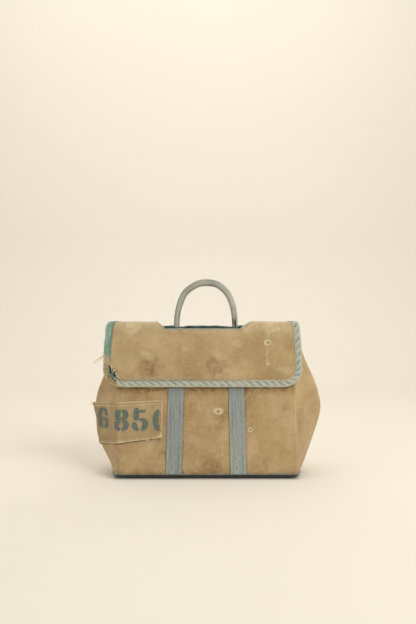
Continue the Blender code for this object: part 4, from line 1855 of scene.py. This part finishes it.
        def place(p: float, q: float) -> Vector:
            """Wrap the tape over the lip."""
            at = q * (len(lip) - 1)
            low = min(int(at), len(lip) - 2)
            spot = lip[low].lerp(lip[low + 1], at - low)
            way = (lip[min(low + 2, len(lip) - 1)] - lip[max(low - 1, 0)]).normalized()
            turn = p * (len(rounds) - 1)
            step = min(int(turn), len(rounds) - 2)
            inset, out = (
                mix(rounds[step][i], rounds[step + 1][i], turn - step) * MM for i in (0, 1)
            )
            inset += ripple(spot.x, 0, 11 * MM, 8.0) * 0.5 * MM
            spot = spot + Vector((-way.y, way.x)) * inset
            return form.place(spot.x, spot.y, out)

        sheet = ClothGrid(
            "slot_lip_tape", 21, 120, place, lambda p, q: (q * 0.2, p * 12 * MM), 0.5 * MM
        )
        piece = sheet.build()
        paint_piece(piece, Finish.UNDYED_COTTON_TAPE, ["slot_facing_front"])
        self.bend(piece, False)

    def add_torn_corner(self) -> None:
        """Make the torn corner: the lining darkened as painted shade, the raw canvas edge and its
        frayed threads.
        """
        form = self.form
        start, end = form.tear_start - 4 * MM, form.tear_end + 4 * MM
        # The lining sits just behind the edge; its near-black tone paints the shade inside the
        # tear.
        lining = ClothGrid(
            name="torn_lining",
            across=10,
            along=48,
            place=lambda p, q: form.along_edge(
                mix(start, end, q), mix(25.0, 4.0, p) * MM, -1.0 * MM
            ),
            measure=lambda p, q: (q * 0.07, p * 12 * MM),
            thickness=0.5 * MM,
        )
        piece = lining.build()
        paint_piece(piece, Finish.GREEN_COTTON_LINING)
        self.bend(piece, False)

        def raw(p: float, q: float) -> Vector:
            """Lay the inner canvas, bared along the outline."""
            walked = mix(start, end, q)
            ragged = ripple(walked, p, 4 * MM, 9.0) * 0.8
            inset = mix(8.8 - 2.4 * q, -0.4, p) + ragged
            return form.along_edge(
                walked, inset * MM, -0.3 * MM + 0.3 * MM * ripple(walked, p, 8 * MM, 2)
            )

        strip = ClothGrid(
            name="torn_canvas_edge",
            across=6,
            along=60,
            place=raw,
            measure=lambda p, q: (q * 0.07, p * 6 * MM),
            thickness=0.9 * MM,
            paint={
                "grime": lambda p,
                q: 0.85 * ease(0.95, 0.7, p),
                "wear": lambda p,
                q: 0.6 * ease(0.8, 0.95, p),
            },
        )
        piece = strip.build()
        paint_piece(piece, Finish.WOVEN_DUCK_FLAP)
        self.bend(piece, False)
        chance = random.Random(4)
        lines = []
        for index in range(56):
            walked = chance.uniform(start, end)
            bare = self.form.tear_inset / MM * math.sin(math.pi * (walked - start) / (end - start))
            inset = chance.uniform(-0.5, 6) if index % 2 else bare + chance.uniform(-1.8, 0.8)
            length = chance.uniform(3, 11) * MM
            drift = chance.uniform(-3.5, 2.5)
            rise = chance.uniform(0.3, 1.6) * MM
            lines.append(
                [
                    form.along_edge(
                        clamp(walked + length * t, start, end),
                        (inset + drift * t * t) * MM,
                        0.2 * MM + rise * math.sin(math.pi * t),
                    )
                    for t in (0, 0.25, 0.5, 0.75, 1)
                ]
            )
        for inset, first, last in (
            (0.2, 0.1, 0.75), (0.9, 0.35, 0.9), (9.6, 0.1, 0.6), (8.8, 0.3, 0.85), (
                16.6, 0.12, 0.5
            ),
            (15.6, 0.3, 0.7), (17.4, 0.05, 0.35), (11.8, 0.6, 0.95), (6.0, 0.02, 0.2),
        ):
            waver = [mix(first, last, i / 18) for i in range(19)]
            lines.append(
                [
                    form.along_edge(
                        mix(start, end, t),
                        (inset + 1.3 * ripple(t, inset, 0.13, 5.0)) * MM,
                        (0.5 + 0.5 * ripple(t, inset, 0.2, 8.0)) * MM,
                    )
                    for t in waver
                ]
            )
        for _ in range(30):
            walked = chance.uniform(55 * MM, form.tear_start)
            lean, reach = chance.uniform(-2, 3) * MM, chance.uniform(1.2, 3.4)
            lines.append(
                [form.along_edge(
                    walked + lean * t, -0.2 * MM - reach * t * MM, -0.4 * MM
                ) for t in (0, 0.5, 1)]
            )
        piece = add_threads("frayed_threads", lines, 0.42 * MM, taper=0.5)
        paint_piece(piece, Finish.FRAYED_COTTON_YARN)
        self.bend(piece, False)
        strands = []
        for bow in (0.0, 3.0):
            steps = (0, 0.15, 0.3, 0.45, 0.6, 0.75, 0.9, 1)
            strands.append(
                [
                    form.along_edge(
                        start + 6 * MM + (13 + bow) * MM * t,
                        (1 - 21 * t + 5 * bow * t * (1 - t)) * MM,
                        (0.9 - 0.8 * bow * t) * MM,
                    )
                    for t in steps
                ]
            )
        for inset, first, last in ((-0.3, 0.45, 1.02), (0.9, 0.55, 1.08)):
            waver = [mix(first, last, i / 18) for i in range(19)]
            strands.append(
                [
                    form.along_edge(
                        mix(start, end, t),
                        (inset + 0.9 * ripple(t, inset, 0.13, 5.0)) * MM,
                        0.7 * MM,
                    )
                    for t in waver
                ]
            )
        piece = add_threads("loose_strands", strands, 0.62 * MM, taper=0.6)
        paint_piece(piece, Finish.TWISTED_COTTON_YARN)
        self.bend(piece, False)

    def make(self) -> None:
        """Make the whole flap."""
        self.add_cloth(
            "flap_rear_cloth", self.rear_run, 40, lambda q: q > 0.5,
            self.rear_reach, ["flap_tail", "flap_top_left"],
        )
        self.add_cloth(
            "flap_front_cloth", self.front_run, 100, lambda q: q < self.floor_row,
            self.front_reach, ["flap_front_panel", "flap_top_right"],
        )
        self.add_bindings()
        self.add_binding_stitches()
        self.add_slot_tape()
        self.add_torn_corner()
        self.declare_sheets()

    def declare_sheets(self) -> None:
        """Do nothing; the two sheets meet at the middle of the mouth."""


# The handle.


@dataclass
class Handle:
    """The carrying handle: webbing rolled into a round loop that grows out of the straps."""

    form: BagForm
    radius: float = 6.3 * MM
    neck_z: float = 303.5 * MM
    left: tuple = (
        (-58.5, 284.5), (-56.5, 308), (-51.6, 330), (-42.2, 350.5), (-28.0, 363.0), (-12.0, 370.3)
    )
    right: tuple = (
        (8.0, 371.2), (24.0, 366.5), (41.0, 351.0), (50.8, 330), (55.0, 308), (56.6, 284.5)
    )

    def __post_init__(self) -> None:
        """Space the loop's knots by their distance along it."""
        low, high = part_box("handle_grip")
        self.y = (low.y + high.y) / 2
        spots = [Vector((x, z)) * MM for x, z in self.left + self.right]
        walked = [0.0]
        for before, after in zip(spots, spots[1:]):
            walked.append(walked[-1] + (after - before).length)
        self.length = walked[-1]
        self.x_knots = [(w, s.x) for w, s in zip(walked, spots)]
        self.z_knots = [(w, s.y) for w, s in zip(walked, spots)]

    def spine(self, walked: float) -> tuple[Vector, Vector]:
        """Give the loop's middle line and its direction at a distance along it."""
        ends = [
            Vector((through(self.x_knots, w), self.y, through(self.z_knots, w)))
            for w in (walked - 1 * MM, walked, walked + 1 * MM)
        ]
        return ends[1], (ends[2] - ends[0]).normalized()

    def cut(self, right: bool) -> float:
        """Find the distance along the loop where a leg reaches the neck's height."""
        low, high = (self.length * 0.5, self.length) if right else (0.0, self.length * 0.5)
        for _ in range(30):
            middle = (low + high) / 2
            above = through(self.z_knots, middle) > self.neck_z
            if above != right:
                high = middle
            else:
                low = middle
        return low

    def add_length(
        self, name: str, start: float, end: float, replaced: list
    ) -> None:
        """Make a length of the rolled handle.

        Args:
            name: The piece's name.
            start: Where it starts, as the distance along the loop.
            end: Where it ends.
            replaced: The frame's nodes that it stands for.
        """
        turns = 28

        def place(p: float, q: float) -> Vector:
            """Roll the webbing round the loop's line."""
            walked = mix(start, end, q)
            spot, way = self.spine(walked)
            aside = Vector((way.z, 0, -way.x))
            angle = 2 * math.pi * (round(p * turns) % turns) / turns + math.pi / 2
            foot = min(walked, self.length - walked)
            radius = self.radius * mix(0.86, 1.0, ease(8 * MM, 55 * MM, foot))
            radius *= 1 + 0.1 * ease(0.25 * self.length, 0.5 * self.length, foot)
            radius += ripple(walked, p * 0.02, 30 * MM, 3.0) * 0.35 * MM
            fold = 0.45 * MM * ease(0.1, 0.0, abs((angle / math.pi - 0.5 + 1) % 2 - 1))
            return (
                spot
                + aside * math.cos(angle) * (radius - fold)
                + Vector((0, 1, 0)) * math.sin(angle) * radius
            )

        rows = max(int((end - start) / (2 * MM)), 6)
        tube = ClothGrid(
            name=name,
            across=turns,
            along=rows,
            place=place,
            measure=lambda p, q: (p, mix(start, end, q)),
            paint={
                "grime": lambda p, q: 0.3 * ease(
                    0.1, 0.5, ripple(mix(start, end, q), 0.0, 40 * MM, 2.5)
                ),
                # Painted light: the right leg is made paler, as on the side where the key light
                # falls.
                "wear": lambda p, q: 0.55 * ease(
                    0.6 * self.length, 0.85 * self.length, mix(start, end, q)
                ),
            },
            closed=True,
        )
        piece = tube.build()
        paint_piece(piece, Finish.ROLLED_COTTON_WEBBING, replaced)
        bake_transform(piece)

    def make(self) -> None:
        """Make the loop and its two necks."""
        left, right = self.cut(False), self.cut(True)
        self.add_length("handle_root_left", 0.0, left, ["handle_neck_left"])
        self.add_length("handle_root_right", right, self.length, ["handle_neck_right"])
        self.add_length(
            "handle_loop", left, right, ["handle_grip"]
        )


# The patch and the darns.


@dataclass
class NumberPatch:
    """The numbered patch that wraps the left seam: hemmed canvas with a stencilled number."""

    form: BagForm
    seam_share: float = 0.43
    right_x: float = -83 * MM
    thickness: float = 0.9 * MM
    figure_width: float = 26 * MM
    figure_height: float = 41 * MM
    stroke: float = 3.9 * MM
    base_line: float = 88 * MM

    def spot(self, p: float, q: float) -> tuple[float, float]:
        """Give the developed distance from the seam, plus to the front, and the height."""
        seam = -self.form.panel_half(0.1)
        if p > self.seam_share:
            away = mix(0, self.right_x - seam, (p - self.seam_share) / (1 - self.seam_share))
        else:
            away = mix(-64 * MM, 0, p / self.seam_share)
        low = mix(54, 76, p**0.8) * MM
        high = mix(136, 145.5, p**0.7) * MM
        return away, mix(low, high, q)

    def place(self, p: float, q: float, out: float) -> Vector:
        """Lay the patch over the seam."""
        away, z = self.spot(p, q)
        seam = -self.form.panel_half(z)
        on_front = self.form.front(max(seam + away, seam), z, out)
        turn = -1 + clamp(-away / (64 * MM)) * 0.985
        flare = ease(-48 * MM, -64 * MM, away) * (1.5 + 4.5 * ease(0.55, 1.0, q)) * MM
        on_side = self.form.gusset(-1, turn, z, out + flare)
        return on_side.lerp(on_front, ease(-3 * MM, 3 * MM, away))

    def ink(self, p: float, q: float) -> float:
        """Paint the stencilled number, cut off by the patch's right hem."""
        away, z = self.spot(p, q)
        right = (self.right_x + self.form.panel_half(0.1)) - away
        ink = 0.0
        for figure, start in (
            ("six", -52 * MM), ("eight", -2.5 * MM), ("five", 34 * MM), ("nought", 72 * MM)
        ):
            across, up = (away - start) / self.figure_width, (
                z - self.base_line
            ) / self.figure_height
            ink = max(ink, self.figure_ink(figure, across, up))
        return ink * ease(5.2 * MM, 6.4 * MM, right)

    def figure_ink(self, figure: str, across: float, up: float) -> float:
        """Say how much ink one stencil figure leaves at a spot in its own frame."""
        if not (-0.2 < across < 1.2 and -0.2 < up < 1.2):
            return 0.0
        spot = Vector((across * self.figure_width, up * self.figure_height))
        nearest = min(
            self.distance(spot, before, after) - self.weight(after - before)
            for before, after in self.strokes(figure)
        )
        return ease(0.7 * MM, -0.5 * MM, nearest)

    def weight(self, way: Vector) -> float:
        """Give half a stroke's width: broad where it runs upright, thin where it lies flat."""
        return self.stroke * mix(0.32, 1.4, abs(way.y) / way.length)

    @staticmethod
    def distance(spot: Vector, before: Vector, after: Vector) -> float:
        """Measure from a spot to the nearest place on a short line."""
        way = after - before
        share = clamp((spot - before).dot(way) / way.length_squared)
        return (spot - before - way * share).length

    def strokes(self, figure: str) -> list[tuple[Vector, Vector]]:
        """Give a figure's strokes as short lines, with a stencil's bridges left open."""
        bowl, dome, ring = (0.5, 0.27, 0.37, 0.2), (0.5, 0.73, 0.32, 0.19), (0.5, 0.5, 0.37, 0.43)
        right, left = (-64, 64), (116, 244)
        arcs = {
            "six": (
                (*bowl, -62, 66),
                (*bowl, 114, 244),
                (0.5, 0.5, 0.37, 0.42, 110, 205),
                (0.5, 0.68, 0.34, 0.24, 10, 64),
            ),
            "eight": ((*bowl, *right), (*bowl, *left), (*dome, *right), (*dome, *left)),
            "five": ((0.47, 0.3, 0.4, 0.23, -64, 104), (0.47, 0.3, 0.4, 0.23, 185, 240)),
            "nought": ((*ring, *right), (*ring, *left)),
        }
        lines = []
        for x, y, wide, tall, start, end in arcs[figure]:
            ring = [
                Vector(
                    (
                        (x + wide * math.cos(a)) * self.figure_width,
                        (y + tall * math.sin(a)) * self.figure_height,
                    )
                )
                for a in (math.radians(mix(start, end, i / 9)) for i in range(10))
            ]
            lines += list(zip(ring, ring[1:]))
        if figure == "five":
            corners = [(0.18, 0.92), (0.18, 0.6)], [
                (0.36, 0.93), (0.84, 0.93)
            ], [(0.36, 0.88), (0.8, 0.86)]
            lines += [
                tuple(Vector((x * self.figure_width, y * self.figure_height)) for x, y in pair)
                for pair in corners
            ]
        return lines

    def relief(self, p: float, q: float) -> float:
        """Give the patch's height: its doubled hems and the frayed low corner."""
        away, z = self.spot(p, q)
        right = (self.right_x + self.form.panel_half(0.1)) - away
        top = (1 - q) * 70 * MM
        low = q * 70 * MM
        hem = max(
            ease(6.5 * MM, 5.5 * MM, right),
            ease(5.5 * MM, 4.5 * MM, top),
            ease(6 * MM, 5 * MM, low),
        )
        rim = max(
            ease(1.4 * MM, 0.2 * MM, right),
            ease(1.4 * MM, 0.2 * MM, top),
            ease(1.4 * MM, 0.2 * MM, low),
        )
        rough = ripple(away, z, 9 * MM, 2.0) * 0.3 * MM
        curl = 1.3 * MM * ease(7 * MM, 0.0, low) + 3.0 * MM * ease(
            16 * MM, 0.0, math.hypot(right, low)
        )
        return self.thickness + hem * 0.6 * MM - rim * 0.5 * MM + rough + curl

    def grime(self, p: float, q: float) -> float:
        """Paint the dark lines beside the hems and the patch's old marks."""
        away, z = self.spot(p, q)
        low = q * 70 * MM
        hem_line = 0.25 * ease(1.6 * MM, 0.3 * MM, abs(low - 6.5 * MM))
        seam = 0.35 * ease(5 * MM, 1 * MM, abs(away))
        return clamp(hem_line + seam + 0.3 * ease(0.1, 0.5, ripple(away, z, 25 * MM, 12.0)))

    def wear(self, p: float, q: float) -> float:
        """Paint the patch's pale hems."""
        away, z = self.spot(p, q)
        right = (self.right_x + self.form.panel_half(0.1)) - away
        top = (1 - q) * 70 * MM
        low = q * 70 * MM
        rims = [ease(3 * MM, 1 * MM, away_from) for away_from in (right, top, low)]
        edge = max(
            *rims,
            ease(1.2 * MM, 0.2 * MM, abs(top - 6 * MM)),
            ease(13 * MM, 6 * MM, math.hypot(right, low)),
        )
        return clamp(0.8 * edge + 0.25 * ease(0.2, 0.6, ripple(away, z, 18 * MM, 4.0)))

    def make(self) -> None:
        """Make the patch, its stitches and its loose threads."""
        sheet = ClothGrid(
            name="number_patch_cloth",
            across=150,
            along=72,
            place=lambda p, q: self.place(p, q, self.relief(p, q)),
            measure=lambda p, q: self.spot(p, q),
            thickness=0.75 * MM,
            paint={"grime": self.grime, "wear": self.wear, "ink": self.ink},
        )
        piece = dress(
            sheet.build(), Finish.WOVEN_DUCK_PATCH, "bag", ["number_patch"]
        )
        corners = [self.spot(p / 10, q) for p in range(11) for q in (0, 1)]
        heights = [high[1] - low[1] for low, high in zip(corners[::2], corners[1::2])]
        lift = self.form.outward * 0.15 * MM
        rows = []
        for q in (0.045, 0.95):
            rows += stitches(
                lambda s,
                q=q: self.place(0.02 + s / 0.165 * 0.95, q, 1.6 * MM),
                0.16,
                3.6 * MM,
                2.3 * MM,
                lift,
            )
        rows += stitches(
            lambda s: self.place(0.972, 0.06 + s / 0.07, 1.6 * MM), 0.062, 3.6 * MM, 2.3 * MM, lift
        )
        piece = add_threads("patch_stitches", rows, 0.32 * MM)
        dress(piece, Finish.WAXED_LINEN_THREAD, "bag")
        # Painted shadow: a dark cord just below the patch's lower edge stands for the shadow of the
        # lifted hem.
        under = [self.place(i / 60, -0.012, 0.35 * MM) for i in range(61)]
        piece = add_threads("patch_turned_edge", [under], 0.8 * MM)
        dress(piece, Finish.FOLDED_DUCK_EDGE, "bag")
        chance = random.Random(9)
        lines = []
        for _ in range(26):
            p, q = (
                1.0, chance.uniform(-0.02, 0.3)
            ) if chance.random() < 0.5 else (chance.uniform(0.82, 1.0), 0.0)
            aside, fall = chance.uniform(-0.01, 0.018), chance.uniform(0.02, 0.07)
            lines.append(
                [self.place(
                    min(p - 0.01 + aside * t, 1.03), q - fall * t, (1.2 - 0.6 * t) * MM
                ) for t in (0, 0.3, 0.6, 1)]
            )
        for base in (0.16, 0.74):
            lines.append(
                [self.place(
                    base + 0.03 * t, -0.02 - 0.05 * math.sin(3 * t), 1.0 * MM
                ) for t in (0, 0.25, 0.5, 0.75, 1)]
            )
        for turn in (0.0, 0.35):
            lines.append(
                [self.place(
                    0.8 + turn * 0.05 - 0.02 * t * t, -0.01 - 0.13 * t, (1.6 + turn) * MM
                ) for t in (0, 0.3, 0.6, 1)]
            )
        for turn in (0.0, 0.5, 1.0, 1.5):
            lines.append(
                [self.place(0.0, 1 - 0.05 * turn + 0.03 * t, (2 + 5 * t) * MM) for t in (0, 0.5, 1)]
            )
        piece = add_threads("patch_fray", lines, 0.38 * MM, taper=0.6)
        dress(piece, Finish.FRAYED_COTTON_YARN, "bag")


@dataclass
class Darns:
    """The darned holes: rings of pale thread on the front and on the flap."""

    body: BagForm
    flap: FlapForm

    def ring(
        self, place: Place, wide: float, tall: float, count: int, seed: int, inner: float = 0.5
    ) -> list:
        """Sew a ring of thread round a hole.

        Args:
            place: Gives the surface at an offset across and up, in metres.
            wide: Half the ring's width.
            tall: Half the ring's height.
            count: The number of stitches round it.
            seed: Makes one ring's unevenness.
            inner: The share of the ring that the hole takes.

        Returns:
            The lines of the threads.
        """
        chance = random.Random(seed)
        lines = []
        for index in range(count):
            angle = 2 * math.pi * (index + chance.uniform(-0.25, 0.25)) / count
            near, far = inner * chance.uniform(0.85, 1.15), chance.uniform(0.85, 1.1)
            skew = chance.uniform(-0.12, 0.12)
            line = []
            for t in (0, 0.35, 0.7, 1):
                reach = mix(near, far, t)
                turn = angle + skew * t
                rise = 0.7 * MM * math.sin(math.pi * (0.15 + 0.75 * t))
                spot = place(wide * reach * math.cos(turn), tall * reach * math.sin(turn))
                line.append(spot + self.body.outward * rise)
            lines.append(line)
        for reach in (inner, 0.75):
            loop = [2 * math.pi * i / 20 for i in range(21)]
            lines.append(
                [
                    place(wide * reach * math.cos(a), tall * reach * math.sin(a))
                    + self.body.outward * 0.6 * MM for a in loop
                ]
            )
        return lines

    def on_front(self, x: float, z: float) -> Place:
        """Give the front panel's surface round a spot."""
        return lambda across, up: self.body.front(x + across, z + up, 0.25 * MM)

    def on_flap(self, x: float, z: float) -> Place:
        """Give the flap's surface round a spot."""
        secant = 1 / math.cos(self.body.lean)
        run = self.flap.end - (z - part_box("flap_front_panel")[0].z) * secant
        return lambda across, up: self.flap.place(x + across, run - up, 0.25 * MM)

    def middle(self, node: str) -> tuple[float, float]:
        """Give the middle of one of the frame's darns as x and z."""
        low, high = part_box(node)
        return (low.x + high.x) / 2, (low.z + high.z) / 2

    def sew(
        self, name: str, lines: list, width: float, body: str, replaced: Sequence[str] = ()
    ) -> None:
        """Make one darn from its threads.

        Args:
            name: The piece's name.
            lines: The threads, each a list of places.
            width: How thick a thread is, in metres.
            body: The body that the darn moves with.
            replaced: The frame's nodes that it stands for.
        """
        piece = add_threads(name, lines, width)
        dress(piece, Finish.SPUN_COTTON_DARNING, body, replaced)

    def make(self) -> None:
        """Sew all the darns."""
        x, z = self.middle("darn_front_upper")
        lines = self.ring(self.on_front(x, z), 11 * MM, 7.3 * MM, 30, 1, 0.35)
        self.sew("front_darn", lines, 0.5 * MM, "bag", ["darn_front_upper"])
        x, z = self.middle("darn_front_ring")
        lines = self.ring(self.on_front(x, z), 5.2 * MM, 5.2 * MM, 22, 2)
        self.sew("front_ring_darn", lines, 0.4 * MM, "bag", ["darn_front_ring"])
        x, z = self.middle("darn_flap")
        lines = self.ring(self.on_flap(x, z), 7.9 * MM, 7.4 * MM, 28, 3, 0.42)
        self.sew("flap_darn", lines, 0.5 * MM, "flap_front", ["darn_flap"])
        chance = random.Random(12)
        lines = []
        for x, z, size in ((30, 47, 3.6), (36.5, 73, 2.0), (33, 60, 1.4), (-77, 22, 3.0)):
            place = self.on_front(x * MM, z * MM)
            for _ in range(5):
                ends = [
                    Vector((chance.uniform(-0.6, 0.6), chance.uniform(-1, 1)))
                    * size
                    * MM for _ in range(2)
                ]
                rise = self.body.outward * chance.uniform(0.3, 0.8) * MM
                middle = (ends[0] + ends[1]) / 2
                lines.append([place(*ends[0]), place(*middle) + rise, place(*ends[1])])
        self.sew("loose_stitches", lines, 0.4 * MM, "bag")


# The stage.


@dataclass
class Stage:
    """The pale paper sweep, the soft lights and the camera."""

    camera_distance: float = 1.192
    camera_height: float = 0.314
    plane_y: float = -0.045
    side_step: float = 3.4 * MM
    lens: float = 36.0

    def add_sweep(self) -> None:
        """Lay the paper on the floor and curve it up behind the bag."""
        shape = bmesh.new()
        corner = 0.7
        start = shape.verts.new((-5.0, -4.0, 0.0))
        profile = [(-4.0, 0.0), (1.2, 0.0)]
        profile += [
            (1.2 + corner * math.sin(turn), corner - corner * math.cos(turn))
            for turn in (math.pi / 2 * step / 12 for step in range(1, 13))
        ]
        profile.append((1.2 + corner, 5.0))
        verts = [start] + [shape.verts.new((-5.0, y, z)) for y, z in profile[1:]]
        edges = [shape.edges.new(pair) for pair in zip(verts, verts[1:])]
        grown = bmesh.ops.extrude_edge_only(shape, edges=edges)["geom"]
        moved = [item for item in grown if isinstance(item, bmesh.types.BMVert)]
        bmesh.ops.translate(shape, verts=moved, vec=(10.0, 0, 0))
        bmesh.ops.recalc_face_normals(shape, faces=shape.faces)
        if sum(face.normal.z for face in shape.faces) < 0:
            bmesh.ops.reverse_faces(shape, faces=shape.faces)
        sweep = add_piece("paper_sweep", shape)
        soften(sweep, 60.0)
        sweep.data.materials.append(SeamlessPaper("#F1EADD", "#EFE8DA").build("background_paper"))

    def add_light(
        self, name: str, place: tuple, size: float, power: float, tint: str, target: tuple
    ) -> None:
        """Hang one soft square light, turned towards a target."""
        light = bpy.data.lights.new(name, "AREA")
        light.size = size
        light.energy = power
        light.color = linear(tint)[:3]
        lamp = bpy.data.objects.new(name, light)
        bpy.context.scene.collection.objects.link(lamp)
        lamp.location = place
        aim = Vector(target) - Vector(place)
        lamp.rotation_euler = aim.to_track_quat("-Z", "Y").to_euler()

    def add_camera(self) -> None:
        """Set the camera level, straight in front of the bag."""
        camera = bpy.data.cameras.new("camera")
        camera.sensor_width = 36.0
        camera.lens = self.lens
        camera.dof.use_dof = False
        holder = bpy.data.objects.new("camera", camera)
        bpy.context.scene.collection.objects.link(holder)
        holder.location = (self.side_step, self.plane_y - self.camera_distance, self.camera_height)
        holder.rotation_euler = (math.pi / 2, 0, 0)
        bpy.context.scene.camera = holder

    def make(self) -> None:
        """Set the whole stage."""
        self.add_sweep()
        self.add_light("key", (1.3, -1.4, 1.6), 1.2, 25.6, "#FFFDFA", (0, 0, 0.15))
        self.add_light("fill", (-1.7, -1.2, 1.0), 1.8, 6.5, "#FFFDFA", (0, 0, 0.2))
        self.add_light("sky", (0.0, 0.1, 2.6), 2.4, 2.0, "#FFFEFC", (0, 0, 0.15))
        self.add_light("wall", (-0.15, 0.75, 2.5), 3.0, 30.5, "#FFFEFC", (-0.1, 1.9, 1.1))
        world = bpy.data.worlds.new("soft_room")
        world.use_nodes = True
        ground = world.node_tree.nodes["Background"]
        ground.inputs[0].default_value = linear("#FDFBF6")
        ground.inputs[1].default_value = 0.41
        bpy.context.scene.world = world
        bpy.context.scene.view_settings.view_transform = "Standard"
        self.add_camera()


def main() -> None:
    """Build the stage and every sub-assembly in order."""
    logging.basicConfig(level=logging.INFO, format="%(message)s")
    Stage().make()
    form = BagForm()
    Body(form).make()
    Straps(form).make()
    flap_form = FlapForm(form)
    Flap(flap_form).make()
    Handle(form).make()
    NumberPatch(form).make()
    Darns(form, flap_form).make()


if __name__ == "__main__":
    main()
